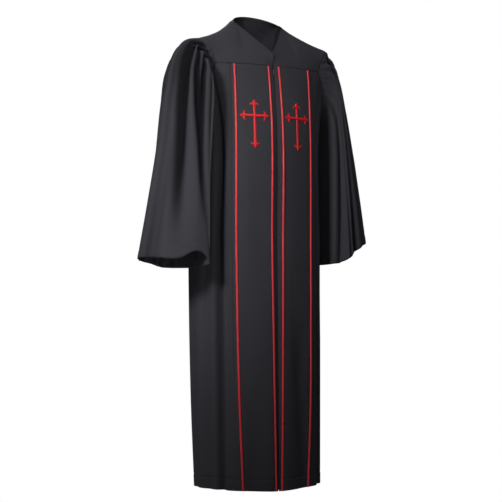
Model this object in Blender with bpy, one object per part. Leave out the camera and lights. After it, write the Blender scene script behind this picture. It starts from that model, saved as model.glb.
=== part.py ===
"""A clergy robe as it hangs when worn: a fitted yoke with a V neck, red piped front panels with an
embroidered cross on each, a concealed front zip, a fluted back and two full bell sleeves.

Metres, +Z up. The wearer faces -Y and has the left arm on +X. The origin is the middle of the neck
opening, level with the tops of the shoulders, where the wearer's shoulders carry the robe.

Every piece of cloth is a thin wall whose outer side is a grid of points worked out by a formula.
"""

from collections import namedtuple

import bmesh
import bpy
import numpy as np

for stale in list(bpy.data.objects):
    bpy.data.objects.remove(stale)

# Cloth and seams
CLOTH = 0.0016
HALF_GAP = 0.00015
YOKE_SLIT = 0.0016
ZIP_SLIT = 0.0028
TINY = 1e-4

# Heights below the tops of the shoulders
HEM_Z = -1.387
HEM_RISE_RIGHT = 0.011
HEM_RISE_LEFT = 0.008
YOKE_FRONT_Z = -0.138
YOKE_BACK_Z = -0.118
ARMPIT_Z = -0.272

# Where the front yoke, the back yoke and the armhole meet, as angles round the body
FRONT_CORNER = 46.0
BACK_CORNER = 128.0
SIDE_SEAM = 90.0
ARMHOLE_ROUND = 1.7

# Neck and shoulder
NECK_SIDE = np.array([0.0805, 0.000, 0.000])
NECK_BACK = np.array([0.0, 0.058, 0.035])
NECK_V = np.array([0.0, -0.0835, -0.0986])
SHOULDER_TIP = np.array([0.210, -0.036, -0.063])
NECK_SHARE = 0.44

# Piping, embroidery and zip
PIPING_WIDTH = 0.0062
PIPING_HEIGHT = 0.0030
LAID_ON_GAP = 0.0004
CROSS_HEIGHT = 0.143
CROSS_WIDTH = 0.088
CROSS_BAR = 0.0078
CROSS_THICK = 0.0013
CROSS_TOP_Z = -0.2445
CROSS_BAR_DROP = 0.047
ZIP_TAPE_WIDTH = 0.026
ZIP_TAPE = 0.0010
ZIP_TOP_DROP = 0.006
ZIP_END_UP = 0.004

# Horizontal sections of the body, from the hem to the front yoke seam
Section = namedtuple("Section", "z half_width front back middle_y inner_piping outer_piping")
SECTIONS = [
    Section(-1.387, 0.201, 0.130, 0.118, 0.006, 0.0105, 0.1120),
    Section(-1.120, 0.206, 0.135, 0.138, 0.014, 0.0140, 0.1210),
    Section(-0.680, 0.211, 0.133, 0.152, 0.019, 0.0187, 0.1268),
    Section(-0.272, 0.214, 0.128, 0.130, 0.020, 0.0187, 0.1268),
    Section(-0.138, 0.240, 0.109, 0.098, 0.020, 0.0180, 0.1265),
    Section(-0.118, 0.243, 0.105, 0.092, 0.020, 0.0180, 0.1265),
]
SQUARENESS = 2.2

# Troughs pressed into the body between the folds. Angles run round from the centre front to the
# wearer's left; ahead and behind are the half widths towards smaller and larger angles.
Trough = namedtuple("Trough", "top hem ahead behind at_top at_chest at_knee at_hem")
FRONT_TROUGHS = [
    Trough(50.5, 52.0, 0.009, 0.018, 0.000, 0.014, 0.017, 0.014),
    Trough(308.5, 308.5, 0.019, 0.009, 0.002, 0.016, 0.018, 0.015),
    Trough(0.0, 0.0, 0.007, 0.007, 0.0025, 0.0040, 0.0045, 0.0060),
    Trough(20.0, 24.0, 0.030, 0.022, 0.000, 0.0010, 0.0030, 0.0060),
    Trough(341.0, 336.0, 0.024, 0.034, 0.000, 0.0008, 0.0020, 0.0020),
    Trough(76.0, 74.0, 0.016, 0.022, 0.000, 0.004, 0.007, 0.009),
    Trough(292.0, 290.0, 0.026, 0.022, 0.000, 0.004, 0.006, 0.007),
    Trough(100.0, 99.0, 0.018, 0.018, 0.000, 0.007, 0.012, 0.014),
    Trough(262.0, 264.0, 0.024, 0.026, 0.000, 0.003, 0.004, 0.006),
]
BACK_TROUGHS = [
    Trough(119.0, 117.0, 0.010, 0.013, 0.000, 0.009, 0.013, 0.015),
    Trough(136.0, 133.0, 0.008, 0.011, 0.0035, 0.012, 0.017, 0.018),
    Trough(146.0, 144.0, 0.008, 0.008, 0.0035, 0.008, 0.007, 0.006),
    Trough(155.5, 154.0, 0.009, 0.010, 0.0040, 0.013, 0.019, 0.021),
    Trough(164.0, 163.0, 0.008, 0.008, 0.0035, 0.008, 0.008, 0.009),
    Trough(172.5, 173.0, 0.008, 0.010, 0.0040, 0.012, 0.017, 0.018),
    Trough(181.0, 183.0, 0.008, 0.008, 0.0035, 0.009, 0.009, 0.008),
    Trough(189.5, 191.0, 0.010, 0.008, 0.0040, 0.012, 0.018, 0.021),
    Trough(198.0, 199.0, 0.008, 0.008, 0.0035, 0.008, 0.008, 0.007),
    Trough(206.5, 208.0, 0.009, 0.011, 0.0040, 0.013, 0.018, 0.018),
    Trough(216.0, 218.0, 0.008, 0.008, 0.0035, 0.008, 0.007, 0.008),
    Trough(225.5, 227.0, 0.012, 0.008, 0.0035, 0.012, 0.016, 0.019),
    Trough(241.0, 244.0, 0.013, 0.011, 0.000, 0.009, 0.014, 0.014),
]
TROUGHS = FRONT_TROUGHS + BACK_TROUGHS
TROUGH_STATIONS = [0.0, 0.22, 0.60, 1.0]

# Rings of a sleeve between the armhole seam and the cuff: the point on top, which swings round to the
# outside, the one under the arm, which ends beside the body, how far it reaches to front and back, and
# how far its front edge is drawn in over the chest
Ring = namedtuple("Ring", "along top_x top_y top_z under_x under_y under_z front back middle tuck")
LEFT_RINGS = [
    Ring(0.09, 0.236, -0.026, -0.084, 0.2235, 0.020, -0.296, -0.063, 0.106, 0.52, 0.000),
    Ring(0.17, 0.258, -0.010, -0.126, 0.2245, 0.016, -0.320, -0.078, 0.118, 0.46, 0.000),
    Ring(0.32, 0.288, 0.004, -0.220, 0.2250, 0.012, -0.378, -0.088, 0.124, 0.38, 0.000),
    Ring(0.54, 0.318, 0.008, -0.370, 0.2250, 0.010, -0.474, -0.099, 0.130, 0.32, 0.000),
    Ring(0.78, 0.345, 0.010, -0.524, 0.2255, 0.010, -0.596, -0.111, 0.140, 0.28, 0.000),
    Ring(1.00, 0.364, 0.010, -0.648, 0.2260, 0.012, -0.722, -0.120, 0.152, 0.26, 0.000),
]
RIGHT_RINGS = [
    Ring(0.09, 0.256, -0.018, -0.069, 0.2235, 0.020, -0.296, -0.106, 0.130, 0.52, 0.028),
    Ring(0.17, 0.280, -0.002, -0.112, 0.2245, 0.016, -0.320, -0.113, 0.134, 0.46, 0.038),
    Ring(0.32, 0.300, 0.008, -0.216, 0.2250, 0.012, -0.378, -0.116, 0.132, 0.38, 0.035),
    Ring(0.54, 0.319, 0.012, -0.374, 0.2250, 0.010, -0.484, -0.118, 0.134, 0.32, 0.028),
    Ring(0.78, 0.349, 0.014, -0.548, 0.2255, 0.010, -0.616, -0.119, 0.144, 0.28, 0.030),
    Ring(1.00, 0.379, 0.014, -0.708, 0.2260, 0.012, -0.737, -0.121, 0.160, 0.26, 0.034),
]
ROOMY = 0.12

# Where the cuff is hitched up: degrees round the sleeve, half width in degrees and height
Hitch = namedtuple("Hitch", "turn spread lift")
LEFT_HITCHES = [Hitch(70.0, 35.0, 0.014), Hitch(285.0, 30.0, 0.010)]
RIGHT_HITCHES = [Hitch(76.0, 14.0, 0.032), Hitch(285.0, 30.0, 0.004)]
HITCH_FROM = 0.55

# Troughs of a sleeve. Degrees round the sleeve: 0 on top and outside, 90 in front, 180 by the body
Flute = namedtuple("Flute", "head cuff ahead behind at_seam at_head at_elbow at_cuff")
LEFT_FLUTES = [
    Flute(14.0, 8.0, 9.0, 11.0, 0.001, 0.011, 0.008, 0.006),
    Flute(38.0, 34.0, 8.0, 9.0, 0.001, 0.009, 0.006, 0.008),
    Flute(60.0, 62.0, 7.0, 8.0, 0.001, 0.012, 0.010, 0.004),
    Flute(79.0, 82.0, 6.0, 7.0, 0.001, 0.009, 0.009, 0.012),
    Flute(97.0, 104.0, 6.0, 7.0, 0.001, 0.006, 0.005, 0.003),
    Flute(122.0, 130.0, 9.0, 9.0, 0.000, 0.003, 0.007, 0.012),
    Flute(205.0, 205.0, 12.0, 12.0, 0.000, 0.003, 0.009, 0.014),
    Flute(240.0, 236.0, 9.0, 9.0, 0.000, 0.008, 0.010, 0.010),
    Flute(262.0, 262.0, 7.0, 7.0, 0.001, 0.009, 0.006, 0.007),
    Flute(281.0, 283.0, 7.0, 7.0, 0.001, 0.011, 0.012, 0.013),
    Flute(301.0, 303.0, 7.0, 8.0, 0.001, 0.009, 0.006, 0.005),
    Flute(321.0, 322.0, 8.0, 9.0, 0.001, 0.011, 0.011, 0.012),
    Flute(343.0, 344.0, 8.0, 9.0, 0.001, 0.009, 0.005, 0.004),
]
RIGHT_FLUTES = [
    Flute(2.0, 8.0, 10.0, 11.0, 0.001, 0.006, 0.004, 0.006),
    Flute(27.0, 50.0, 11.0, 9.0, 0.002, 0.022, 0.012, 0.002),
    Flute(43.0, 86.0, 5.5, 6.5, 0.002, 0.016, 0.010, 0.002),
    Flute(62.0, 84.0, 5.0, 5.0, 0.002, 0.014, 0.006, 0.000),
    Flute(84.0, 100.0, 5.0, 6.0, 0.001, 0.006, 0.001, 0.000),
    Flute(118.0, 150.0, 8.0, 9.0, 0.000, 0.002, 0.005, 0.008),
    Flute(205.0, 205.0, 12.0, 12.0, 0.000, 0.003, 0.009, 0.014),
    Flute(238.0, 238.0, 9.0, 9.0, 0.000, 0.008, 0.010, 0.010),
    Flute(261.0, 262.0, 7.0, 7.0, 0.001, 0.009, 0.006, 0.006),
    Flute(280.0, 282.0, 7.0, 7.0, 0.001, 0.011, 0.012, 0.014),
    Flute(300.0, 303.0, 7.0, 8.0, 0.001, 0.009, 0.006, 0.005),
    Flute(320.0, 323.0, 8.0, 9.0, 0.001, 0.009, 0.008, 0.009),
    Flute(341.0, 342.0, 9.0, 9.0, 0.001, 0.006, 0.003, 0.003),
]
FLUTE_STATIONS = [0.0, 0.14, 0.50, 1.0]

# Grid sizes
BODY_ROWS = 14
YOKE_ROWS = 8
SLEEVE_ROWS = 17
PLACKET_COLUMNS = 2
PANEL_COLUMNS = 7
SIDE_COLUMNS = 5
ARMHOLE_COLUMNS = 8
BACK_COLUMNS = 44
YOKE_COLUMNS = 10
SLEEVE_SPLIT = 2
FRONT_EDGE_POINTS = YOKE_ROWS + ARMHOLE_COLUMNS - 1

BLACK_CLOTH = dict(color=(0.030, 0.029, 0.033), roughness=0.78)
RED_SATIN = dict(color=(0.62, 0.030, 0.045), roughness=0.38)
RED_THREAD = dict(color=(0.80, 0.012, 0.018), roughness=0.45)
ZIP_BLACK = dict(color=(0.012, 0.012, 0.013), roughness=0.55)
GREY_METAL = dict(color=(0.35, 0.35, 0.37), roughness=0.35, metallic=1.0)


def eased(at, stations, values):
    """The smooth curve through values at the stations, with its slopes from the stations on each side."""
    x = np.asarray(stations, float)
    y = np.asarray(values, float)
    slope = np.gradient(y, x)
    at = np.clip(at, x[0], x[-1])
    i = np.clip(np.searchsorted(x, at, side="right") - 1, 0, len(x) - 2)
    gap = x[i + 1] - x[i]
    s = (at - x[i]) / gap
    rise = s * s * (3 - 2 * s)
    start = s * (1 - s) ** 2 * gap
    finish = s * s * (s - 1) * gap
    return y[i] * (1 - rise) + y[i + 1] * rise + slope[i] * start + slope[i + 1] * finish


def measure(name, z):
    """One measure of the body's sections at height z."""
    return eased(z, [s.z for s in SECTIONS], [getattr(s, name) for s in SECTIONS])


def power(value, exponent):
    return np.sign(value) * np.abs(value) ** exponent


def trough(offset, ahead, behind):
    """A soft groove: 1 in its middle, falling away over a half width that differs on its two sides."""
    return np.exp(-((offset / np.where(offset < 0, ahead, behind)) ** 2))


def body(angle, z):
    """The outer side of the robe's body at an angle in degrees round from the centre front and a height:
    a squared oval whose folds are troughs pressed into it."""
    turn = np.radians(angle)
    width = measure("half_width", z)
    depth = np.where(np.cos(turn) > 0, measure("front", z), measure("back", z))
    x = width * power(np.sin(turn), 2 / SQUARENESS)
    y = -depth * power(np.cos(turn), 2 / SQUARENESS)
    out = np.stack([x / width**2, y / depth**2], -1)
    out /= np.linalg.norm(out, axis=-1, keepdims=True)
    reach = np.hypot(x, y)
    fall = (YOKE_FRONT_Z - z) / (YOKE_FRONT_Z - HEM_Z)
    pressed = np.zeros(np.broadcast(angle, z).shape)
    for row in TROUGHS:
        centre = row.top + (row.hem - row.top) * np.clip(fall, 0, 1)
        offset = np.radians((angle - centre + 180) % 360 - 180) * reach
        depth_here = eased(fall, TROUGH_STATIONS, row[4:])
        pressed = pressed + depth_here * trough(offset, row.ahead, row.behind)
    middle = measure("middle_y", z)
    return np.stack(
        [x - pressed * out[..., 0], middle + y - pressed * out[..., 1], z + 0 * x], -1
    )


def angle_at(x, z):
    """The angle at which the front of the smooth oval is x metres from the centre."""
    return np.degrees(np.arcsin((x / measure("half_width", z)) ** (SQUARENESS / 2)))


def hem_edge(angle):
    """The height of the hem, which hangs a little higher at the sides than at the centre front."""
    turn = np.radians(angle)
    rise = np.where(np.sin(turn) < 0, HEM_RISE_RIGHT, HEM_RISE_LEFT)
    return HEM_Z + rise * np.abs(np.sin(turn))


def top_edge(angle):
    """The height where the body's cloth ends: the yoke seams, and the armhole between them."""
    a = np.abs((angle + 180) % 360 - 180)
    front = np.clip((a - FRONT_CORNER) / (SIDE_SEAM - FRONT_CORNER), 0, 1)
    back = np.clip((BACK_CORNER - a) / (BACK_CORNER - SIDE_SEAM), 0, 1)
    z_front = ARMPIT_Z + (YOKE_FRONT_Z - ARMPIT_Z) * (1 - front) ** ARMHOLE_ROUND
    z_back = ARMPIT_Z + (YOKE_BACK_Z - ARMPIT_Z) * (1 - back) ** ARMHOLE_ROUND
    return np.where(a < SIDE_SEAM, z_front, z_back)


def body_normals(angle, z):
    steps = 0.02
    around = body(angle + steps, z) - body(angle - steps, z)
    up = body(angle, z + TINY) - body(angle, z - TINY)
    n = np.cross(around, up)
    return n / np.linalg.norm(n, axis=-1, keepdims=True)


def grid_faces(points, wrap=False):
    """Two triangles for each cell of a grid of points numbered row by row, split along its shorter
    diagonal so that the left and the right of the robe match."""
    rows, columns = points.shape[:2]
    i, j = np.mgrid[0 : rows - 1, 0 : columns if wrap else columns - 1]
    a = (i * columns + j).ravel()
    b = (i * columns + (j + 1) % columns).ravel()
    c, d = b + columns, a + columns
    flat = points.reshape(-1, 3)
    rising = np.linalg.norm(flat[a] - flat[c], axis=1)
    falling = np.linalg.norm(flat[b] - flat[d], axis=1)
    swap = (falling < rising - 1e-7)[:, None]
    first = np.where(swap, np.stack([a, b, d], 1), np.stack([a, b, c], 1))
    second = np.where(swap, np.stack([b, c, d], 1), np.stack([a, c, d], 1))
    return np.concatenate([first, second])


def rim_faces(points, outer, inner):
    """The strip between two matching rows of point numbers, split along its shorter diagonals."""
    a, b = outer[:-1], outer[1:]
    c, d = inner[1:], inner[:-1]
    rising = np.linalg.norm(points[b] - points[d], axis=1)
    falling = np.linalg.norm(points[a] - points[c], axis=1)
    swap = (falling < rising - 1e-7)[:, None]
    first = np.where(swap, np.stack([b, a, c], 1), np.stack([b, a, d], 1))
    second = np.where(swap, np.stack([a, d, c], 1), np.stack([b, d, c], 1))
    return np.concatenate([first, second])


def wall(name, outer, inner, material, wrap=False):
    """A closed wall of cloth between an outer and an inner grid of points."""
    rows, columns = outer.shape[:2]
    number = np.arange(rows * columns).reshape(rows, columns)
    under = number + rows * columns
    points = np.concatenate([outer.reshape(-1, 3), inner.reshape(-1, 3)])
    face = grid_faces(outer, wrap)
    rims = [(0, slice(None)), (-1, slice(None, None, -1))]
    faces = [face, face[:, ::-1] + rows * columns]
    for row, way in rims:
        edge, edge_in = number[row], under[row]
        if wrap:
            edge, edge_in = np.append(edge, edge[0]), np.append(edge_in, edge_in[0])
        faces.append(rim_faces(points, edge[way], edge_in[way]))
    if not wrap:
        faces.append(rim_faces(points, number[:, -1], under[:, -1]))
        faces.append(rim_faces(points, number[::-1, 0], under[::-1, 0]))
    return solid(name, points, np.concatenate(faces), material)


def solid(name, points, faces, material):
    mesh = bpy.data.meshes.new(name)
    mesh.from_pydata(points.tolist(), [], faces.tolist())
    mesh.materials.append(material)
    mesh.shade_smooth()
    mesh.set_sharp_from_angle(angle=np.radians(50))
    obj = bpy.data.objects.new(name, mesh)
    bpy.context.scene.collection.objects.link(obj)
    return obj


def finish(name, color, roughness, metallic=0.0):
    """A plain material with the part's own colour and gloss."""
    material = bpy.data.materials.new(name)
    material.use_nodes = True
    shader = material.node_tree.nodes["Principled BSDF"]
    shader.inputs["Base Color"].default_value = (*color, 1.0)
    shader.inputs["Roughness"].default_value = roughness
    shader.inputs["Metallic"].default_value = metallic
    material.diffuse_color = (*color, 1.0)
    return material


def rows_up():
    """Shares of the way up the body, closer together under the yoke where the folds begin."""
    return 1 - (1 - np.linspace(0, 1, BODY_ROWS)) ** 1.6


def body_grid(angles):
    """Outer and inner points of a body panel. angles is a function of height that gives the panel's
    columns, so that seams can wander as they go down."""
    share = rows_up()[:, None]
    columns = angles(np.full(1, YOKE_FRONT_Z)).shape[-1]
    z = np.full((BODY_ROWS, columns), YOKE_FRONT_Z)
    for _ in range(8):
        turn = angles(z)
        z = hem_edge(turn) + share * (top_edge(turn) - HALF_GAP - hem_edge(turn))
    outer = body(turn, z)
    inner = outer - CLOTH * body_normals(turn, z)
    return outer, inner


def between(start, end, columns):
    """Evenly spaced columns between two seams, each a function of height."""
    share = np.linspace(0, 1, columns)

    def angles(z):
        z = np.broadcast_to(z, (len(np.atleast_1d(z)), columns))
        return start(z) * (1 - share) + end(z) * share

    return angles


def seam(measure_name, shift):
    """The angle of a front seam at each height, moved sideways by shift metres."""
    return lambda z: angle_at(measure(measure_name, z) + shift, z)


def mirrored(outer, inner):
    """The same panel on the wearer's right, with its columns turned round to keep it facing out."""
    flip = np.array([-1, 1, 1])
    return outer[:, ::-1] * flip, inner[:, ::-1] * flip


def on_side(side, angles):
    """Angles on the wearer's left as they are, and on the right measured the other way round."""
    return angles if side > 0 else lambda z: -angles(z)[..., ::-1]


def half_gap_angle(radius=0.2):
    return np.degrees(HALF_GAP / radius)


def side_columns(z):
    """Columns of a side front panel: evenly from the piping to the yoke's corner, then along the
    armhole to the side seam."""
    z = np.atleast_2d(z)
    start = angle_at(measure("outer_piping", z) + HALF_GAP, z)
    end = SIDE_SEAM - half_gap_angle()
    near = start[..., :1] + (FRONT_CORNER - start[..., :1]) * np.linspace(0, 1, SIDE_COLUMNS)
    far = FRONT_CORNER + (end - FRONT_CORNER) * np.linspace(0, 1, ARMHOLE_COLUMNS + 1)[1:] ** 1.35
    far = np.broadcast_to(far, (len(near), ARMHOLE_COLUMNS))
    return np.concatenate([near, far], -1)


def side_front(side):
    """Outer and inner grids of a side front panel, from the outer piping to the side seam."""
    count = SIDE_COLUMNS + ARMHOLE_COLUMNS
    share = rows_up()[:, None]
    z = np.full((BODY_ROWS, count), YOKE_FRONT_Z)
    for _ in range(8):
        turn = side_columns(z)
        if turn.shape[0] == 1:
            turn = np.repeat(turn, BODY_ROWS, 0)
        z = hem_edge(turn) + share * (top_edge(turn) - HALF_GAP - hem_edge(turn))
    if side < 0:
        turn, z = -turn[:, ::-1], z[:, ::-1]
    outer = body(turn, z)
    return outer, outer - CLOTH * body_normals(turn, z)


def back_columns():
    """Columns of the back: along one armhole, across the fluted back, along the other armhole."""
    gap = half_gap_angle()
    out = BACK_CORNER + (SIDE_SEAM + gap - BACK_CORNER) * np.linspace(1, 0, ARMHOLE_COLUMNS + 1) ** 1.2
    middle = np.linspace(BACK_CORNER, 360 - BACK_CORNER, BACK_COLUMNS + 1)[1:-1]
    return np.concatenate([out, middle, 360 - out[::-1]])


def back_grid():
    turn = np.repeat(back_columns()[None], BODY_ROWS, 0)
    z = hem_edge(turn) + rows_up()[:, None] * (top_edge(turn) - HALF_GAP - hem_edge(turn))
    outer = body(turn, z)
    return outer, outer - CLOTH * body_normals(turn, z)


def unit(vectors):
    return vectors / np.linalg.norm(vectors, axis=-1, keepdims=True)


def shoulder_line(share):
    """The shoulder seam from the side of the neck to the shoulder tip, a little hollow between them."""
    share = np.asarray(share)[..., None]
    straight = NECK_SIDE + (SHOULDER_TIP - NECK_SIDE) * share
    hollow = np.array([0, 0, -0.006]) * 4 * share * (1 - share)
    return straight + hollow


def front_top(u):
    """Upper edge of a front yoke: up the V neck, then out along the shoulder."""
    neck = np.clip(u / NECK_SHARE, 0, 1)[..., None]
    neckline = NECK_V + (NECK_SIDE - NECK_V) * neck
    neckline = neckline + np.array([0, -0.004, 0.0]) * 4 * neck * (1 - neck)
    shoulder = shoulder_line(np.clip((u - NECK_SHARE) / (1 - NECK_SHARE), 0, 1))
    return np.where((u < NECK_SHARE)[..., None], neckline, shoulder)


def back_top(u):
    """Upper edge of the back yoke: the curved back neck in the middle, then out along the shoulders."""
    a = np.abs(u)
    turn = (1 - np.clip(a / NECK_SHARE, 0, 1)) * np.pi / 2
    neck = np.stack(
        [
            NECK_SIDE[0] * np.cos(turn),
            NECK_BACK[1] * np.sin(turn),
            NECK_SIDE[2] + (NECK_BACK[2] - NECK_SIDE[2]) * np.sin(turn),
        ],
        -1,
    )
    shoulder = shoulder_line(np.clip((a - NECK_SHARE) / (1 - NECK_SHARE), 0, 1))
    edge = np.where((a < NECK_SHARE)[..., None], neck, shoulder)
    edge[..., 0] *= np.where(u < 0, -1, 1)
    return edge


def sweep(start, start_way, end, end_way, v):
    """The curve that leaves start along start_way and reaches end along end_way."""
    reach = np.linalg.norm(end - start, axis=-1, keepdims=True)
    v = np.asarray(v)[..., None]
    rise = v * v * (3 - 2 * v)
    return (
        start * (1 - rise)
        + end * rise
        + v * (1 - v) ** 2 * reach * start_way
        + v * v * (v - 1) * reach * end_way
    )


def leaning(angle_deg):
    """A direction in the plane across the shoulder: 90 is up, 0 is straight back."""
    a = np.radians(angle_deg)
    return np.stack([0 * a, np.cos(a), np.sin(a)], -1)


def shoulder_lean(u):
    """How steeply the cloth crosses the shoulder seam, front to back."""
    return 14 + 34 * (1 - np.clip((u - NECK_SHARE) / 0.30, 0, 1)) ** 2


def front_yoke_place(u, v):
    """The front yoke on the wearer's left: u from the centre to the armhole, v from the chest seam up."""
    z = YOKE_FRONT_Z + HALF_GAP
    turn = FRONT_CORNER * u
    start = body(turn, z + 0 * u)
    start_way = unit(body(turn, z + TINY + 0 * u) - body(turn, z - TINY + 0 * u))
    lean = np.where(u < NECK_SHARE, 48.0, shoulder_lean(u))
    return sweep(start, start_way, front_top(u), leaning(lean), v)


def back_yoke_place(u, v):
    """The back yoke: u from -1 at the right armhole to 1 at the left, v from the back seam up."""
    z = YOKE_BACK_Z + HALF_GAP
    turn = 180 - (180 - BACK_CORNER) * u
    start = body(turn, z + 0 * u)
    start_way = unit(body(turn, z + TINY + 0 * u) - body(turn, z - TINY + 0 * u))
    a = np.clip(np.abs(u) / NECK_SHARE, 0, 1)
    lean = np.where(np.abs(u) < NECK_SHARE, 105 + (228 - 105) * a**1.5, 180 + shoulder_lean(np.abs(u)))
    return sweep(start, start_way, back_top(u), leaning(lean), v)


def yoke_shares():
    """Shares across a half yoke with one at the side of the neck."""
    inner = np.linspace(0, NECK_SHARE, 6)
    outer = np.linspace(NECK_SHARE, 1, YOKE_COLUMNS - 3)[1:]
    return np.concatenate([inner, outer])


def sheet_normals(points):
    """Unit normals of a grid of points, from its neighbours along and across."""
    return unit(np.cross(np.gradient(points, axis=1), np.gradient(points, axis=0)))


def shoulder_normals(u):
    """Upward normals along the left shoulder seam, the same for the pieces on both sides of it."""
    share = (u - NECK_SHARE) / (1 - NECK_SHARE)
    out = shoulder_line(share + 0.01) - shoulder_line(share - 0.01)
    return unit(np.cross(out, leaning(shoulder_lean(u))))


def front_yoke():
    """Outer and inner grids of the left front yoke."""
    u, v = np.meshgrid(yoke_shares(), np.linspace(0, 1, YOKE_ROWS))
    outer = front_yoke_place(u, v)
    facing = sheet_normals(outer)
    outer[:, 0, 0] += YOKE_SLIT / 2
    facing[:, 0, 0] = 0
    shoulder = u[0] >= NECK_SHARE
    outer[-1, shoulder] -= leaning(shoulder_lean(u[0, shoulder])) * HALF_GAP
    facing[-1, shoulder] = shoulder_normals(u[0, shoulder])
    return outer, outer - CLOTH * unit(facing)


def back_yoke():
    """Outer and inner grids of the back yoke."""
    half = yoke_shares()
    across = np.concatenate([half[::-1], -half[1:]])
    u, v = np.meshgrid(across, np.linspace(0, 1, YOKE_ROWS))
    outer = back_yoke_place(u, v)
    facing = sheet_normals(outer)
    facing[u == 0, 0] = 0
    shoulder = np.abs(u[0]) >= NECK_SHARE
    outer[-1, shoulder] += leaning(shoulder_lean(np.abs(u[0, shoulder]))) * HALF_GAP
    facing[-1, shoulder] = shoulder_normals(np.abs(u[0, shoulder]))
    facing[-1, shoulder, 0] *= np.sign(u[0, shoulder])
    return outer, outer - CLOTH * unit(facing)


def armhole(side, grids):
    """The armhole's edge as matching outer and inner points, from the shoulder tip down the front, under
    the arm and up the back, and the direction that leads out of the robe's body at each."""
    yoke_out, yoke_in = grids["yoke_front"]
    front_out, front_in = grids["side_front"]
    back_out, back_in = grids["back"]
    back_yoke_out, back_yoke_in = grids["yoke_back"]
    n = ARMHOLE_COLUMNS
    if side > 0:
        down_yoke = np.s_[::-1, -1], np.s_[::-1, -2]
        along_front = np.s_[-1, -n:], np.s_[-2, -n:]
        along_back = np.s_[-1, 1:n], np.s_[-2, 1:n]
        up_yoke = np.s_[:-1, 0], np.s_[:-1, 1]
    else:
        down_yoke = np.s_[::-1, 0], np.s_[::-1, 1]
        along_front = np.s_[-1, n - 1 :: -1], np.s_[-2, n - 1 :: -1]
        along_back = np.s_[-1, -2 : -n - 1 : -1], np.s_[-2, -2 : -n - 1 : -1]
        up_yoke = np.s_[:-1, -1], np.s_[:-1, -2]
    pieces = [
        (yoke_out, yoke_in, down_yoke),
        (front_out, front_in, along_front),
        (back_out, back_in, along_back),
        (back_yoke_out, back_yoke_in, up_yoke),
    ]
    outer = np.concatenate([o[edge] for o, _, (edge, _) in pieces])
    inner = np.concatenate([i[edge] for _, i, (edge, _) in pieces])
    nearer = np.concatenate([o[within] for o, _, (_, within) in pieces])
    along = unit(np.roll(outer, -1, 0) - np.roll(outer, 1, 0))
    away = outer - nearer
    away -= (away * along).sum(-1, keepdims=True) * along
    return outer, inner, unit(away)


def split_ring(ring, parts):
    """A closed ring of points with each side cut into equal parts."""
    share = np.arange(parts) / parts
    following = np.roll(ring, -1, 0)
    return (ring[:, None] * (1 - share)[:, None] + following[:, None] * share[:, None]).reshape(-1, 3)


def ring_point(row, turn):
    """A ring of the sleeve on the wearer's left: an oval about a middle that sits near the body side, so
    that it is flat there and round outside. Its front edge is drawn in by the tuck."""
    top = np.array([row.top_x, row.top_y, row.top_z])
    under = np.array([row.under_x, row.under_y, row.under_z])
    middle = under + (top - under) * row.middle
    c, s = np.cos(turn)[..., None], np.sin(turn)[..., None]
    up = np.where(c > 0, c * (top - middle), -c * (under - middle))
    reach = np.where(s > 0, row.front - middle[1], row.back - middle[1])
    drawn_in = row.tuck * np.clip(s, 0, 1) ** 6
    return middle + up + np.abs(s) * reach * np.array([0, 1, 0]) - drawn_in * np.array([1, 0, 0])


def threads(seam_ring, leaving, turns, along, rings, side):
    """The smooth sleeve: each lengthwise thread leaves the armhole sideways and runs through the rings
    to the cuff along a curve that keeps its direction from ring to ring."""
    flip = np.array([side, 1, 1])
    stations = np.array([0.0] + [row.along for row in rings])
    loops = np.array([seam_ring] + [ring_point(row, turns) * flip for row in rings])
    slope = np.gradient(loops, stations, axis=0)
    slope[0] = leaving / stations[1]
    i = np.clip(np.searchsorted(stations, along, side="right") - 1, 0, len(stations) - 2)
    gap = (stations[i + 1] - stations[i])[:, None, None]
    s = (along - stations[i])[:, None, None] / gap
    rise = s * s * (3 - 2 * s)
    return (
        loops[i] * (1 - rise)
        + loops[i + 1] * rise
        + slope[i] * s * (1 - s) ** 2 * gap
        + slope[i + 1] * s * s * (s - 1) * gap
    )


def grid_normals(points, side):
    """Outward normals of a tube given as rings of points."""
    around = np.roll(points, -1, 1) - np.roll(points, 1, 1)
    down = np.gradient(points, axis=0)
    return unit(np.cross(around, down)) * side


def from_middle(degrees, centre):
    """How far round the sleeve each degree lies from a centre, between -180 and 180."""
    return (degrees - centre + 180) % 360 - 180


def room(turns, along, rings):
    """How much of a flute's depth there is room for: less at the sleeve's narrow front and back edges
    where it hangs nearly flat, all of it where the sleeve is wide."""
    width = [row.top_x - row.under_x for row in rings]
    share = np.clip(np.interp(along, [row.along for row in rings], width) / ROOMY, 0, 1)
    return 1 - (1 - share[:, None]) * np.sin(turns)[None] ** 4


def fluted(points, turns, along, rings, flutes, hitches, side):
    """The sleeve with its flutes pressed in along its normals and its cuff hitched up."""
    degrees = np.degrees(turns)
    pressed = np.zeros(points.shape[:2])
    for row in flutes:
        centre = row.head + from_middle(row.cuff, row.head) * along[:, None]
        depth = eased(along, FLUTE_STATIONS, row[4:])[:, None]
        pressed += depth * trough(from_middle(degrees[None], centre), row.ahead, row.behind)
    pressed *= room(turns, along, rings)
    shaped = points - pressed[..., None] * grid_normals(points, side)
    low = np.clip((along[:, None] - HITCH_FROM) / (1 - HITCH_FROM), 0, 1) ** 2
    for row in hitches:
        shaped[..., 2] += row.lift * low * trough(from_middle(degrees, row.turn), row.spread, row.spread)
    return shaped


def seam_turns(ring):
    """Angles round the sleeve for the armhole's points: 0 at the shoulder tip, half a turn under the
    arm, and in between in step with the length of the seam."""
    step = np.linalg.norm(np.roll(ring, -1, 0) - ring, axis=1)
    run = np.concatenate([[0], np.cumsum(step)])
    under = FRONT_EDGE_POINTS * SLEEVE_SPLIT
    front = run[: under + 1] / run[under]
    back = 1 + (run[under + 1 : -1] - run[under]) / (run[-1] - run[under])
    return np.pi * np.concatenate([front, back])


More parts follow.
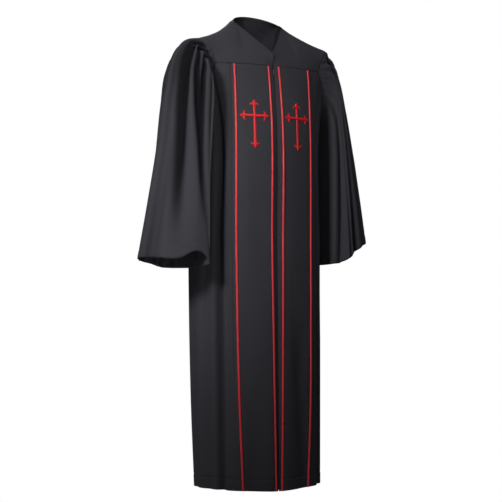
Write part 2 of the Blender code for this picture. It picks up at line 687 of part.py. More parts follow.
def sleeve(side, grids, rings, flutes, hitches):
    """Outer and inner grids of a sleeve, its first ring matched point for point to the armhole."""
    edge_out, edge_in, away = armhole(side, grids)
    outer_ring = split_ring(edge_out + 2 * HALF_GAP * away, SLEEVE_SPLIT)
    inner_ring = split_ring(edge_in + 2 * HALF_GAP * away, SLEEVE_SPLIT)
    turns = seam_turns(outer_ring)
    sideways = np.stack([side + 0 * turns, -0.25 * np.sin(turns), -0.15 * np.cos(turns)], -1)
    reach = 0.036 + 0.012 * np.cos(turns)[:, None]
    along = np.linspace(0, 1, SLEEVE_ROWS) ** 1.6
    smooth = threads(outer_ring, reach * sideways, turns, along, rings, side)
    outer = fluted(smooth, turns, along, rings, flutes, hitches, side)
    outer[0] = outer_ring
    inner = outer - CLOTH * grid_normals(outer, side)
    inner[0] = inner_ring
    return (outer, inner) if side > 0 else (outer[::-1], inner[::-1])


def laid_on(angle, z, lift):
    """A point lifted off the body's cloth."""
    return body(angle, z) + body_normals(angle, z) * np.asarray(lift)[..., None]


def piping(side, measure_name):
    """A half round cord along a front seam, lying just off the cloth from the yoke to the hem."""
    hem = hem_edge(side * angle_at(measure(measure_name, HEM_Z), HEM_Z))
    z = hem + rows_up() * (YOKE_FRONT_Z - 0.0010 - hem)
    profile = np.linspace(0, np.pi, 7)
    across = -np.cos(profile) * PIPING_WIDTH / 2
    lift = LAID_ON_GAP + np.sin(profile) * PIPING_HEIGHT
    z = np.repeat(z[:, None], len(profile), 1)
    turn = angle_at(measure(measure_name, z) + across, z)
    lift = np.repeat(lift[None], len(z), 0)
    if side < 0:
        turn = -turn
    points = laid_on(turn, z, lift)
    rows, columns = points.shape[:2]
    number = np.arange(rows * columns).reshape(rows, columns)
    faces = grid_faces(points, wrap=True).tolist()
    ends = []
    for k in range(1, columns - 1):
        ends.append([number[0, 0], number[0, k + 1], number[0, k]])
        ends.append([number[-1, 0], number[-1, k], number[-1, k + 1]])
    faces = np.array(faces + ends)
    if side < 0:
        faces = faces[:, ::-1]
    return points.reshape(-1, 3), faces


def cross_arm(length, root):
    """One arm's outline going round its end: out along one side, round a leaf that curls back, over the
    bud's point, and home by the other side."""
    half = CROSS_BAR / 2
    neck = length - 0.0165
    one_side = [
        (half, root),
        (half, neck - 0.0002),
        (half + 0.0030, neck + 0.0012),
        (0.0104, neck - 0.0022),
        (0.0140, neck - 0.0012),
        (0.0130, neck + 0.0034),
        (0.0082, neck + 0.0066),
        (half - 0.0014, neck + 0.0072),
        (half + 0.0006, neck + 0.0108),
    ]
    return one_side + [(0.0, length)] + [(-x, y) for x, y in one_side[::-1]]


def turned(points, quarter):
    """Points turned by quarter turns to the left."""
    c, s = [(1, 0), (0, 1), (-1, 0), (0, -1)][quarter]
    return [(x * c - y * s, x * s + y * c) for x, y in points]


def cross_shape():
    """The whole outline of the cross about the middle of its crossing, going round to the left."""
    half = CROSS_BAR / 2
    reaches = [CROSS_BAR_DROP, CROSS_WIDTH / 2, CROSS_HEIGHT - CROSS_BAR_DROP, CROSS_WIDTH / 2]
    outline = []
    for quarter, reach in enumerate(reaches):
        outline += turned(cross_arm(reach, half)[:-1], quarter)
    return outline


def cross(name, side, material):
    """The embroidered cross: a flat slab cut into small faces and laid on the curved front panel."""
    shape = bmesh.new()
    corners = [shape.verts.new((x, y, 0)) for x, y in cross_shape()]
    shape.faces.new(corners)
    for axis, places in ((0, (-0.030, -0.016, 0.016, 0.030)), (1, np.arange(-0.080, 0.040, 0.023))):
        for place in places:
            normal = (1, 0, 0) if axis == 0 else (0, 1, 0)
            spot = (place, 0, 0) if axis == 0 else (0, place, 0)
            everything = shape.verts[:] + shape.edges[:] + shape.faces[:]
            bmesh.ops.bisect_plane(shape, geom=everything, plane_co=spot, plane_no=normal)
    bmesh.ops.triangulate(shape, faces=shape.faces[:])
    raised = bmesh.ops.extrude_face_region(shape, geom=shape.faces[:])
    for item in raised["geom"]:
        if isinstance(item, bmesh.types.BMVert):
            item.co.z = CROSS_THICK
    bmesh.ops.recalc_face_normals(shape, faces=shape.faces[:])
    bmesh.ops.triangulate(shape, faces=shape.faces[:])
    flat = np.array([v.co[:] for v in shape.verts])
    faces = np.array([[v.index for v in f.verts] for f in shape.faces])
    shape.free()
    centre_z = CROSS_TOP_Z - CROSS_BAR_DROP
    z = centre_z + flat[:, 1]
    middle = (measure("inner_piping", z) + measure("outer_piping", z)) / 2
    turn = side * angle_at(middle + side * flat[:, 0], z)
    points = laid_on(turn, z, LAID_ON_GAP + 0.0002 + flat[:, 2])
    return solid(name, points, faces, material)


def zip_tape(material):
    """The closed zip: a flat band behind the slit between the plackets."""
    z = HEM_Z + ZIP_END_UP + rows_up() * (YOKE_FRONT_Z - ZIP_TOP_DROP - HEM_Z - ZIP_END_UP)
    share = np.linspace(-1, 1, 5)
    z = np.repeat(z[:, None], len(share), 1)
    turn = share * angle_at(np.minimum(ZIP_TAPE_WIDTH / 2, measure("inner_piping", z) - 0.0005), z)[:, :1]
    depth = CLOTH + LAID_ON_GAP
    outer = body(turn, z) - body_normals(turn, z) * depth
    inner = outer - body_normals(turn, z) * ZIP_TAPE
    return wall("zip", outer, inner, material)


def zip_slider(material):
    """The zip's slider, closed at the top of the slit."""
    z = YOKE_FRONT_Z - 0.016
    front = body(np.array(0.0), np.array(z))
    bm = bmesh.new()
    bmesh.ops.create_cube(bm, size=1.0)
    sizes = (ZIP_SLIT - 0.0008, 0.0028, 0.0095)
    bmesh.ops.scale(bm, vec=sizes, verts=bm.verts)
    mesh = bpy.data.meshes.new("zip_slider")
    bm.to_mesh(mesh)
    bm.free()
    obj = bpy.data.objects.new("zip_slider", mesh)
    obj.location = (0, front[1] - 0.0002, z)
    mesh.materials.append(material)
    bpy.context.scene.collection.objects.link(obj)
    return obj


def build():
    black = finish("black_cloth", **BLACK_CLOTH)
    satin = finish("red_satin", **RED_SATIN)
    thread = finish("red_thread", **RED_THREAD)
    zip_black = finish("zip_black", **ZIP_BLACK)
    metal = finish("grey_metal", **GREY_METAL)

    yoke = front_yoke()
    back_of_yoke = back_yoke()
    back = back_grid()
    wall("yoke_front_left", *yoke, black)
    wall("yoke_front_right", *mirrored(*yoke), black)
    wall("yoke_back", *back_of_yoke, black)
    wall("back", *back, black)

    for side, word, sleeve_tables in (
        (1, "left", (LEFT_RINGS, LEFT_FLUTES, LEFT_HITCHES)),
        (-1, "right", (RIGHT_RINGS, RIGHT_FLUTES, RIGHT_HITCHES)),
    ):
        slit = lambda z: angle_at(ZIP_SLIT / 2 + 0 * z, z)
        placket = between(slit, seam("inner_piping", -HALF_GAP), PLACKET_COLUMNS + 1)
        panel = between(
            seam("inner_piping", HALF_GAP), seam("outer_piping", -HALF_GAP), PANEL_COLUMNS
        )
        wall(f"placket_{word}", *body_grid(on_side(side, placket)), black)
        wall(f"front_panel_{word}", *body_grid(on_side(side, panel)), black)
        flank = side_front(side)
        wall(f"side_front_{word}", *flank, black)
        grids = {
            "yoke_front": yoke if side > 0 else mirrored(*yoke),
            "side_front": flank,
            "back": back,
            "yoke_back": back_of_yoke,
        }
        wall(f"sleeve_{word}", *sleeve(side, grids, *sleeve_tables), black, wrap=True)
        for place in ("inner", "outer"):
            points, faces = piping(side, f"{place}_piping")
            solid(f"piping_{word}_{place}", points, faces, satin)
        cross(f"cross_{word}", side, thread)
    zip_tape(zip_black)
    zip_slider(metal)


build()
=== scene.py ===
# %% [markdown]
# # A clergy robe, cut and sewn from formulas
#
# The robe hangs as it does when it is worn: a fitted yoke with a V neck, two front panels edged
# with red piping, an embroidered cross on each, a concealed zip, a fluted back and two full
# sleeves. A plain model of it is already packed. This lesson dresses that model with fine cloth.
#
# Every new piece is a surface: a function of two parameters worked out for a whole grid of points
# at once, and then handed to Blender as a mesh. Lengths are metres, Z is up, the wearer faces -Y
# and the wearer's left arm is on +X.

from collections import namedtuple

import bpy
import numpy as np
from mathutils import Euler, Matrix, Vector


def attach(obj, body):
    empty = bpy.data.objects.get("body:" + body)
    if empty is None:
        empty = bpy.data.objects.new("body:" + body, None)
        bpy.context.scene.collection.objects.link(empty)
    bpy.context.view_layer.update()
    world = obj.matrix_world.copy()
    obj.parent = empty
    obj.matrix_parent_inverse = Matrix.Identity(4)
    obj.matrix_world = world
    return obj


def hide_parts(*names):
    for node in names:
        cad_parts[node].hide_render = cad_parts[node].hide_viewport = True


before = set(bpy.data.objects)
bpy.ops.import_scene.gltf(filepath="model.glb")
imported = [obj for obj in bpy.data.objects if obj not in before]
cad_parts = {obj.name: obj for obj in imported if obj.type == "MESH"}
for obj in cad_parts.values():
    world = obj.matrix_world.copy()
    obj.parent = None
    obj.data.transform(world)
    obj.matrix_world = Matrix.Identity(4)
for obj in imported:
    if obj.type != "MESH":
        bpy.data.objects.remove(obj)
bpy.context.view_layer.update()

# %% [markdown]
# ## The sizes that shape the body
#
# A garment can be modelled by sculpting, by simulating cloth on a figure, or by formulas. The
# packed robe was made by formulas, and the fine cloth has to lie exactly on it, so the same
# formulas are used here on a much finer grid. The body is a stack of squared ovals, and its folds
# are troughs pressed into them. Each row of a table is one section or one trough.

# %% Sections and troughs of the body
Section = namedtuple("Section", "z half_width front back middle_y inner_piping outer_piping")
SECTIONS = [
    Section(-1.387, 0.201, 0.130, 0.118, 0.006, 0.0105, 0.1120),
    Section(-1.120, 0.206, 0.135, 0.138, 0.014, 0.0140, 0.1210),
    Section(-0.680, 0.211, 0.133, 0.152, 0.019, 0.0187, 0.1268),
    Section(-0.272, 0.214, 0.128, 0.130, 0.020, 0.0187, 0.1268),
    Section(-0.138, 0.240, 0.109, 0.098, 0.020, 0.0180, 0.1265),
    Section(-0.118, 0.243, 0.105, 0.092, 0.020, 0.0180, 0.1265),
]
SQUARENESS = 2.2
HEM_Z = -1.387
HEM_RISE_RIGHT = 0.011
HEM_RISE_LEFT = 0.008
YOKE_FRONT_Z = -0.138
YOKE_BACK_Z = -0.118
ARMPIT_Z = -0.272
FRONT_CORNER = 46.0
BACK_CORNER = 128.0
SIDE_SEAM = 90.0
ARMHOLE_ROUND = 1.7

Trough = namedtuple("Trough", "top hem ahead behind at_top at_chest at_knee at_hem")
TROUGHS = [
    Trough(50.5, 52.0, 0.009, 0.018, 0.000, 0.014, 0.017, 0.014),
    Trough(308.5, 308.5, 0.019, 0.009, 0.002, 0.016, 0.018, 0.015),
    Trough(0.0, 0.0, 0.007, 0.007, 0.0025, 0.0040, 0.0045, 0.0060),
    Trough(20.0, 24.0, 0.030, 0.022, 0.000, 0.0010, 0.0030, 0.0060),
    Trough(341.0, 336.0, 0.024, 0.034, 0.000, 0.0008, 0.0020, 0.0020),
    Trough(76.0, 74.0, 0.016, 0.022, 0.000, 0.004, 0.007, 0.009),
    Trough(292.0, 290.0, 0.026, 0.022, 0.000, 0.004, 0.006, 0.007),
    Trough(100.0, 99.0, 0.018, 0.018, 0.000, 0.007, 0.012, 0.014),
    Trough(262.0, 264.0, 0.024, 0.026, 0.000, 0.003, 0.004, 0.006),
    Trough(119.0, 117.0, 0.010, 0.013, 0.000, 0.009, 0.013, 0.015),
    Trough(136.0, 133.0, 0.008, 0.011, 0.0035, 0.012, 0.017, 0.018),
    Trough(146.0, 144.0, 0.008, 0.008, 0.0035, 0.008, 0.007, 0.006),
    Trough(155.5, 154.0, 0.009, 0.010, 0.0040, 0.013, 0.019, 0.021),
    Trough(164.0, 163.0, 0.008, 0.008, 0.0035, 0.008, 0.008, 0.009),
    Trough(172.5, 173.0, 0.008, 0.010, 0.0040, 0.012, 0.017, 0.018),
    Trough(181.0, 183.0, 0.008, 0.008, 0.0035, 0.009, 0.009, 0.008),
    Trough(189.5, 191.0, 0.010, 0.008, 0.0040, 0.012, 0.018, 0.021),
    Trough(198.0, 199.0, 0.008, 0.008, 0.0035, 0.008, 0.008, 0.007),
    Trough(206.5, 208.0, 0.009, 0.011, 0.0040, 0.013, 0.018, 0.018),
    Trough(216.0, 218.0, 0.008, 0.008, 0.0035, 0.008, 0.007, 0.008),
    Trough(225.5, 227.0, 0.012, 0.008, 0.0035, 0.012, 0.016, 0.019),
    Trough(241.0, 244.0, 0.013, 0.011, 0.000, 0.009, 0.014, 0.014),
]
TROUGH_STATIONS = [0.0, 0.22, 0.60, 1.0]

# Finer creases: each runs from a point near its top to one lower down, and fades at both ends
# unless it runs out over the hem
Crease = namedtuple("Crease", "turn_a z_a turn_b z_b half_width depth")
BODY_CREASES = [
    Crease(-4.0, -0.90, -24.0, -1.39, 0.024, 0.0035),
    Crease(-14.0, -0.40, -11.0, -0.95, 0.020, 0.0012),
    Crease(-26.0, -0.26, -22.0, -0.80, 0.012, -0.0010),
    Crease(11.0, -0.72, 25.0, -1.30, 0.018, 0.0030),
    Crease(28.0, -0.86, 17.0, -1.12, 0.020, 0.0024),
    Crease(16.0, -1.02, 30.0, -1.39, 0.022, 0.0030),
    Crease(62.0, -0.30, 66.0, -0.95, 0.010, 0.0030),
    Crease(83.0, -0.34, 86.0, -1.25, 0.012, 0.0045),
    Crease(110.0, -0.36, 108.0, -1.10, 0.009, 0.0040),
    Crease(-63.0, -0.56, -80.0, -1.34, 0.0045, -0.0024),
    Crease(-110.0, -0.34, -112.0, -1.20, 0.010, 0.0030),
    Crease(127.0, -0.30, 125.0, -1.15, 0.007, 0.0030),
    Crease(-128.0, -0.26, -130.0, -1.00, 0.008, 0.0035),
    Crease(151.0, -0.16, 149.5, -0.60, 0.005, 0.0022),
    Crease(177.0, -0.15, 178.5, -0.75, 0.005, 0.0024),
    Crease(-166.0, -0.15, -165.5, -0.52, 0.005, 0.0020),
    Crease(-149.0, -0.16, -147.5, -0.66, 0.005, 0.0024),
    Crease(168.0, -0.80, 167.0, -1.38, 0.007, 0.0030),
    Crease(-175.0, -0.70, -173.5, -1.38, 0.006, 0.0028),
    Crease(-158.0, -0.82, -157.0, -1.30, 0.007, 0.0030),
]
RUNS_OUT = 0.02
print(len(SECTIONS), "sections,", len(TROUGHS), "troughs and", len(BODY_CREASES), "finer creases")

# %% [markdown]
# ## The formula of the body
#
# `eased` draws a smooth curve through a few measures. `body` turns an angle round the wearer and a
# height into a point: first the squared oval of that height, then every trough pressed in along
# the oval's own outward direction. Because the piping, the crosses and the zip are all placed
# with the same function, they follow each fold of the cloth without any fitting.


# %% Smooth curves, soft grooves and the body's surface
def eased(at, stations, values):
    """The smooth curve through values at the stations: a cubic on each gap, with slopes from the
    stations on both sides."""
    x = np.asarray(stations, float)
    y = np.asarray(values, float)
    slope = np.gradient(y, x)
    at = np.clip(at, x[0], x[-1])
    i = np.clip(np.searchsorted(x, at, side="right") - 1, 0, len(x) - 2)
    gap = x[i + 1] - x[i]
    s = (at - x[i]) / gap
    rise = s * s * (3 - 2 * s)
    start = s * (1 - s) ** 2 * gap
    finish = s * s * (s - 1) * gap
    return y[i] * (1 - rise) + y[i + 1] * rise + slope[i] * start + slope[i + 1] * finish


def measure(name, z):
    """One measure of the body's sections at height z."""
    return eased(z, [s.z for s in SECTIONS], [getattr(s, name) for s in SECTIONS])


def power(value, exponent):
    """A power that keeps the sign of its value."""
    return np.sign(value) * np.abs(value) ** exponent


def unit(vectors):
    """The same directions, each of length 1."""
    return vectors / np.linalg.norm(vectors, axis=-1, keepdims=True)


def smooth_step(value):
    """0 below 0, 1 above 1, and an even S between."""
    s = np.clip(value, 0, 1)
    return s * s * (3 - 2 * s)


def bell(distance, width):
    """exp(-(distance / width)^2): 1 in the middle, and nearly 0 two widths away."""
    return np.exp(-((distance / width) ** 2))


def trough(offset, ahead, behind):
    """A soft groove: a bell with its own width on each side of the middle."""
    return bell(offset, np.where(offset < 0, ahead, behind))


def from_middle(degrees, centre):
    """How far round each angle lies from a centre, between -180 and 180."""
    return (degrees - centre + 180) % 360 - 180


def creases_at(angle, z, reach, rows):
    """Depth of the finer creases: a bell across each one's line, and along it a hump that rises
    and falls as the sine of the share of its length. One that ends at the hem only rises."""
    total = np.zeros(np.broadcast(angle, z).shape)
    for row in rows:
        share = np.clip((row.z_a - z) / (row.z_a - row.z_b), 0, 1)
        centre = row.turn_a + (row.turn_b - row.turn_a) * share
        offset = np.radians(from_middle(angle, centre)) * reach
        runs_out = row.z_b <= HEM_Z + RUNS_OUT
        along = np.sin(np.pi * share / 2) if runs_out else np.sin(np.pi * share)
        total = total + row.depth * bell(offset, row.half_width) * along
    return total


def body_and_depth(angle, z):
    """The outer side of the robe's body. angle is in degrees round from the centre front, z is the
    height. x = w sin(a)^(2/n) and y = -d cos(a)^(2/n), a squared oval, less the depth of every
    trough and crease along the oval's outward normal. The depth is returned too."""
    turn = np.radians(angle)
    width = measure("half_width", z)
    depth = np.where(np.cos(turn) > 0, measure("front", z), measure("back", z))
    x = width * power(np.sin(turn), 2 / SQUARENESS)
    y = -depth * power(np.cos(turn), 2 / SQUARENESS)
    out = unit(np.stack([x / width**2, y / depth**2], -1))
    reach = np.hypot(x, y)
    fall = (YOKE_FRONT_Z - z) / (YOKE_FRONT_Z - HEM_Z)
    pressed = creases_at(angle, z, reach, BODY_CREASES)
    for row in TROUGHS:
        centre = row.top + (row.hem - row.top) * np.clip(fall, 0, 1)
        offset = np.radians(from_middle(angle, centre)) * reach
        deep = eased(fall, TROUGH_STATIONS, row[4:])
        pressed = pressed + deep * trough(offset, row.ahead, row.behind)
    middle = measure("middle_y", z)
    place = np.stack([x - pressed * out[..., 0], middle + y - pressed * out[..., 1], z + 0 * x], -1)
    return place, pressed


def body(angle, z):
    """The points of the body's outer side alone, without the depths."""
    return body_and_depth(angle, z)[0]


def body_normals(angle, z, turn_step=0.02, z_step=1e-4):
    """Outward unit normals of the body, from a small step round it and a small step up."""
    around = body(angle + turn_step, z) - body(angle - turn_step, z)
    up = body(angle, z + z_step) - body(angle, z - z_step)
    return unit(np.cross(around, up))


def angle_at(x, z):
    """The angle at which the front of the smooth oval is x metres from the centre."""
    return np.degrees(np.arcsin((x / measure("half_width", z)) ** (SQUARENESS / 2)))


def hem_edge(angle):
    """Height of the hem, a little higher at the sides than at the centre front."""
    turn = np.radians(angle)
    rise = np.where(np.sin(turn) < 0, HEM_RISE_RIGHT, HEM_RISE_LEFT)
    return HEM_Z + rise * np.abs(np.sin(turn))


def top_edge(angle):
    """Height where the body's cloth ends: the yoke seams, with the armhole between them."""
    a = np.abs(from_middle(angle, 0))
    front = np.clip((a - FRONT_CORNER) / (SIDE_SEAM - FRONT_CORNER), 0, 1)
    back = np.clip((BACK_CORNER - a) / (BACK_CORNER - SIDE_SEAM), 0, 1)
    z_front = ARMPIT_Z + (YOKE_FRONT_Z - ARMPIT_Z) * (1 - front) ** ARMHOLE_ROUND
    z_back = ARMPIT_Z + (YOKE_BACK_Z - ARMPIT_Z) * (1 - back) ** ARMHOLE_ROUND
    return np.where(a < SIDE_SEAM, z_front, z_back)


# %% [markdown]
# ## From a grid of points to a piece of cloth
#
# Cloth needs two sides. Blender's Solidify modifier could give the sheet its thickness, but here
# the thickness has to grow at the hems, where the cloth is turned up double, so the inner side is
# worked out as well: each outer point is moved in along its own normal. The two sides are joined
# by strips round the edges. Distances along the rows and columns become the UV map in metres, so
# that the weave has the same size on every piece. Two marks go with the points and are read by the
# cloth's material: how near a seam is, and how deep in a fold the cloth lies. Both darken the
# cloth's colour as painted shade, along the sunk seams and towards the bottom of the folds.

# %% Grids, distances and the cloth shell
CLOTH = 0.0009
HALF_GAP = 0.00002
SEAM_ROLL = 0.0009
SEAM_ROLL_WIDTH = 0.0016
FULL_FOLD = 0.013
BODY_FOLD_SHARE = 0.33


def run_lengths(points, axis):
    """Distance run along one axis of a grid of points, starting at 0."""
    steps = np.linalg.norm(np.diff(points, axis=axis), axis=-1)
    start = np.zeros_like(np.take(steps, [0], axis))
    return np.concatenate([start, np.cumsum(steps, axis)], axis)


def to_edges(points):
    """Distances from each point of a grid to its left, right, lower and upper edge."""
    across, up = run_lengths(points, 1), run_lengths(points, 0)
    return across, across[:, -1:] - across, up, up[-1:] - up


def rolled(distance):
    """How deep cloth sinks near a seam: most at the stitches, nothing a few millimetres away."""
    return SEAM_ROLL * bell(distance, SEAM_ROLL_WIDTH)


def to_the_edges(count, pull=0.80):
    """Shares from 0 to 1, crowded towards both ends: t - pull sin(2 pi t) / 2 pi."""
    t = np.linspace(0, 1, count)
    return t - pull * np.sin(2 * np.pi * t) / (2 * np.pi)


def grid_cells(rows, columns, wrap):
    """Corner numbers of each cell of a grid, and the same corners numbered with one more column
    so that a tube's last cell doesn't run its pattern backwards."""
    cells = columns if wrap else columns - 1
    i, j = [a.ravel() for a in np.mgrid[0 : rows - 1, 0:cells]]
    ring = np.stack([i, i, i + 1, i + 1], 1)
    step = np.stack([j, j + 1, j + 1, j], 1)
    return ring * columns + step % columns, ring * (columns + 1) + step


def edge_strips(rows, columns, wrap):
    """Faces that join the open edges of an outer grid to those of an inner one, whose points are
    numbered after all of the outer ones."""
    count = rows * columns
    number = np.arange(count).reshape(rows, columns)
    ring = np.concatenate([number, number[:, :1]], 1) if wrap else number
    lines = [ring[0], ring[-1, ::-1]]
    if not wrap:
        lines += [number[::-1, 0], number[:, -1]]
    strips = [np.stack([a[1:], a[:-1], a[:-1] + count, a[1:] + count], 1) for a in lines]
    return np.concatenate(strips)


def end_caps(rows, columns):
    """Four-cornered faces that close the first and last ring of a tube with even columns."""
    half = columns // 2
    caps = []
    for row, way in ((0, -1), (rows - 1, 1)):
        line = row * columns + np.arange(columns)
        back_line = line[::-1]
        cap = [line[: half - 1], line[1:half], back_line[1:half], back_line[: half - 1]]
        caps.append(np.stack(cap, 1)[:, ::way])
    return np.concatenate(caps)


def to_mesh(name, points, quads, uvs=None, marks=None):
    """A new object from points and four-cornered faces, shaded smooth, at the origin."""
    mesh = bpy.data.meshes.new(name)
    mesh.vertices.add(len(points))
    mesh.vertices.foreach_set("co", np.asarray(points, np.float32).ravel())
    mesh.loops.add(quads.size)
    mesh.loops.foreach_set("vertex_index", quads.ravel().astype(np.int32))
    mesh.polygons.add(len(quads))
    mesh.polygons.foreach_set("loop_start", np.arange(0, quads.size, 4, dtype=np.int32))
    mesh.update(calc_edges=True)
    if uvs is not None:
        layer = mesh.uv_layers.new(name="cut")
        layer.data.foreach_set("uv", np.asarray(uvs, np.float32).ravel())
    for mark, values in (marks or {}).items():
        layer = mesh.attributes.new(mark, "FLOAT", "POINT")
        layer.data.foreach_set("value", np.asarray(values, np.float32).ravel())
    mesh.shade_smooth()
    piece = bpy.data.objects.new(name, mesh)
    bpy.context.scene.collection.objects.link(piece)
    return piece


def cloth_piece(name, outer, inner, near_seam, depth=0.0, wrap=False):
    """A closed shell from an outer and an inner grid. Rows run up or down the cloth, columns run
    round it so that the outer side faces out. near_seam is the first mark, from 0 to 1, and also
    sets painted shade along the seams. depth is how far in a fold the outer side lies, and gives
    the second mark, which paints shade into the folds on the outer side only."""
    rows, columns = outer.shape[:2]
    count = rows * columns
    face, mark = grid_cells(rows, columns, wrap)
    rims = edge_strips(rows, columns, wrap)
    quads = np.concatenate([face, face[:, ::-1] + count, rims])
    closed = np.concatenate([outer, outer[:, :1]], 1)
    u = run_lengths(closed, 1).mean(0)[None] + 0 * closed[..., 0]
    v = run_lengths(closed, 0).mean(1)[:, None] + 0 * closed[..., 0]
    flat = np.stack([u, v], -1).reshape(-1, 2)
    rim_at = (rims % count) // columns * (columns + 1) + (rims % count) % columns
    uvs = np.concatenate([flat[mark], flat[mark[:, ::-1]], flat[rim_at]]).reshape(-1, 2)
    points = np.concatenate([outer.reshape(-1, 3), inner.reshape(-1, 3)])
    # The fold mark is painted shade: the deeper the outer side lies in a fold, the darker its
    # colour.
    fold = smooth_step(depth / FULL_FOLD) + 0 * near_seam
    marks = {
        "near_seam": np.tile(near_seam.ravel(), 2),
        "painted_fold_shade": np.concatenate([fold.ravel(), np.zeros(count)]),
    }
    return to_mesh(f"{name}_cloth", points, quads, uvs, marks)


print("Cloth", CLOTH * 1000, "mm thick, seams sunk by", SEAM_ROLL * 1000, "mm")

# %% [markdown]
# ## The six panels of the front
#
# A real robe's front is cut as strips: a narrow placket beside the zip, the piped panel with the
# cross, and a side front that reaches round to the side seam. Each is the body's formula between
# two seams. The columns crowd together near the seams, where the cloth rolls in to its stitches,
# and the lowest 35 mm are double, with a faint groove where the turned-up hem is caught.

# %% Rows, hems and the body panels
BODY_ROWS = 150
ROW_COUNTS = [0.0, 0.02, 0.15, 0.50, 0.80, 0.96, 1.0]
ROW_HEIGHTS = [0.0, 0.003, 0.036, 0.45, 0.86, 0.992, 1.0]
FIT_FROM_Z = -0.7
FIT_ROUNDS = 8
HEM_TURNED_UP = 0.035
HEM_GROOVE = 0.0007
HEM_GROOVE_WIDTH = 0.0022
HEM_PLUMP = 0.0005
PLUMP_FADES_OVER = 0.006
EDGE_ROUNDS_OVER = 0.003
HEM_MARK = 0.7
HEM_MARK_WIDTH = 0.002
TURN_UP_STEP = 0.002
SHALLOW_FOLD = 5
PLACKET_COLUMNS = 14
PANEL_COLUMNS = 60
ZIP_SLIT = 0.0028


def rows_up(count=BODY_ROWS):
    """Shares of the way up the body, closest together in the hem and at the yoke's seam."""
    return np.interp(np.linspace(0, 1, count), ROW_COUNTS, ROW_HEIGHTS)


def fit_rows(turn_of):
    """Angles and heights of a body panel. turn_of gives the columns' angles for given heights, and
    a few rounds settle the heights, because the top and the hem depend on the angle."""
    share = rows_up()[:, None]
    z = FIT_FROM_Z + 0 * share
    for _ in range(FIT_ROUNDS):
        turn = turn_of(z)
        z = hem_edge(turn) + share * (top_edge(turn) - HALF_GAP - hem_edge(turn))
    return turn, z


def hem_relief(height, turned_up, groove_width):
    """Depth of the stitched groove above a hem, height metres up from the edge, with the cloth
    plumper below it."""
    groove = HEM_GROOVE * bell(height - turned_up, groove_width)
    inside = smooth_step((turned_up - height) / PLUMP_FADES_OVER)
    return groove - HEM_PLUMP * inside * smooth_step(height / EDGE_ROUNDS_OVER)


def doubled(height, turned_up):
    """Extra thickness where the edge is turned up or in."""
    return CLOTH * smooth_step((turned_up - height) / TURN_UP_STEP + 0.5)


def near_hem(height, turned_up):
    """The seam mark along the stitches that hold a hem: smoother cloth, with painted shade on it.
    """
    return HEM_MARK * bell(height - turned_up, HEM_MARK_WIDTH)


def body_panel(name, turn, z, extra=0.0):
    """A panel of the body with rolled seams, hem and any extra depth pressed into it. The extra
    folds are shallow and narrow, so they count several times in the fold mark, the painted shade
    of the folds."""
    smooth, depth = body_and_depth(turn, z)
    facing = body_normals(turn, z)
    left, right, low, high = to_edges(smooth)
    seams = rolled(left) + rolled(right) + rolled(high)
    sunk = seams + hem_relief(low, HEM_TURNED_UP, HEM_GROOVE_WIDTH) + extra
    outer = smooth - sunk[..., None] * facing
    inner = outer - (CLOTH + doubled(low, HEM_TURNED_UP))[..., None] * facing
    # The seam mark: smoother cloth and painted shade along the sunk seams and the hem's stitches
    near = np.clip(np.clip(seams / SEAM_ROLL, 0, 1) + near_hem(low, HEM_TURNED_UP), 0, 1)
    # The fold mark, painted shade for the folds, from the troughs and the extra folds
    fold = BODY_FOLD_SHARE * (depth + SHALLOW_FOLD * extra)
    return cloth_piece(name, outer, inner, near, fold), smooth


def seam_angle(measure_name, shift):
    """The angle of a front seam at each height, moved sideways by shift metres."""
    return lambda z: angle_at(measure(measure_name, z) + shift, z)


def columns_between(start, end, count):
    """The angles of count columns at each height, crowded towards the seams start and end."""
    share = to_the_edges(count)
    return lambda z: start(z) * (1 - share) + end(z) * share


def on_side(side, turn_of):
    """The wearer's left as it is, and the right measured the other way round."""
    return turn_of if side > 0 else lambda z: -turn_of(z[..., ::-1])[..., ::-1]


SIDES = {"left": 1, "right": -1}
shells = {}
cuts = {}


def front_panels(word, side):
    """The placket and the piped panel of one side."""
    slit = lambda z: angle_at(ZIP_SLIT / 2 + 0 * z, z)
    placket = columns_between(slit, seam_angle("inner_piping", -HALF_GAP), PLACKET_COLUMNS)
    panel = columns_between(
        seam_angle("inner_piping", HALF_GAP), seam_angle("outer_piping", -HALF_GAP), PANEL_COLUMNS
    )
    for name, turn_of in ((f"placket_{word}", placket), (f"front_panel_{word}", panel)):
        turn, z = fit_rows(on_side(side, turn_of))
        shells[name], cuts[name] = body_panel(name, turn, z)


for word, side in SIDES.items():
    front_panels(word, side)
print("Front strips:", ", ".join(shells))

# %% [markdown]
# ## Side fronts and the fluted back
#
# A side front has a pressed pleat that runs beside the outer piping, then one deep fold that falls
# from the corner of the yoke. The back is one wide piece gathered into the yoke: its large flutes
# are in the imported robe, and small gathers under the seam are added here, some millimetres apart,
# each dying out at its own length. A sum of a few waves with unrelated pitches makes them uneven.

# %% Side fronts, back and their gathers
SIDE_COLUMNS = 48
SIDE_CROWDING = 1.35
ARMHOLE_COLUMNS = 62
ARMHOLE_CROWDING = 1.2
BACK_COLUMNS = 156
SIDE_REACH = 0.2
HALF_GAP_ANGLE = np.degrees(HALF_GAP / SIDE_REACH)
PLEAT_FROM_PIPING = 0.0095
PLEAT_STEP = 0.0014
PLEAT_STEP_WIDTH = 0.0014
PLEAT_REACH = 0.020
PLEAT_GROOVE = 0.0020
PLEAT_GROOVE_WIDTH = 0.0017
PLEAT_ENDS_Z = -1.30
PLEAT_FADES_OVER = 0.45
GATHER_DEPTH = 0.0011
GATHER_LENGTH = 0.045
GATHERS_BEGIN = 0.0015
GATHERS_CLEAR_OF_CORNER = 3.0

# Waves of the gathers: the pitch along the seam, and how far down the cloth each reaches
Wave = namedtuple("Wave", "pitch phase height reach")
BACK_GATHERS = [
    Wave(0.0117, 0.4, 1.00, 1.0),
    Wave(0.0083, 2.1, 0.65, 0.7),
    Wave(0.0171, 4.0, 0.90, 1.6),
]


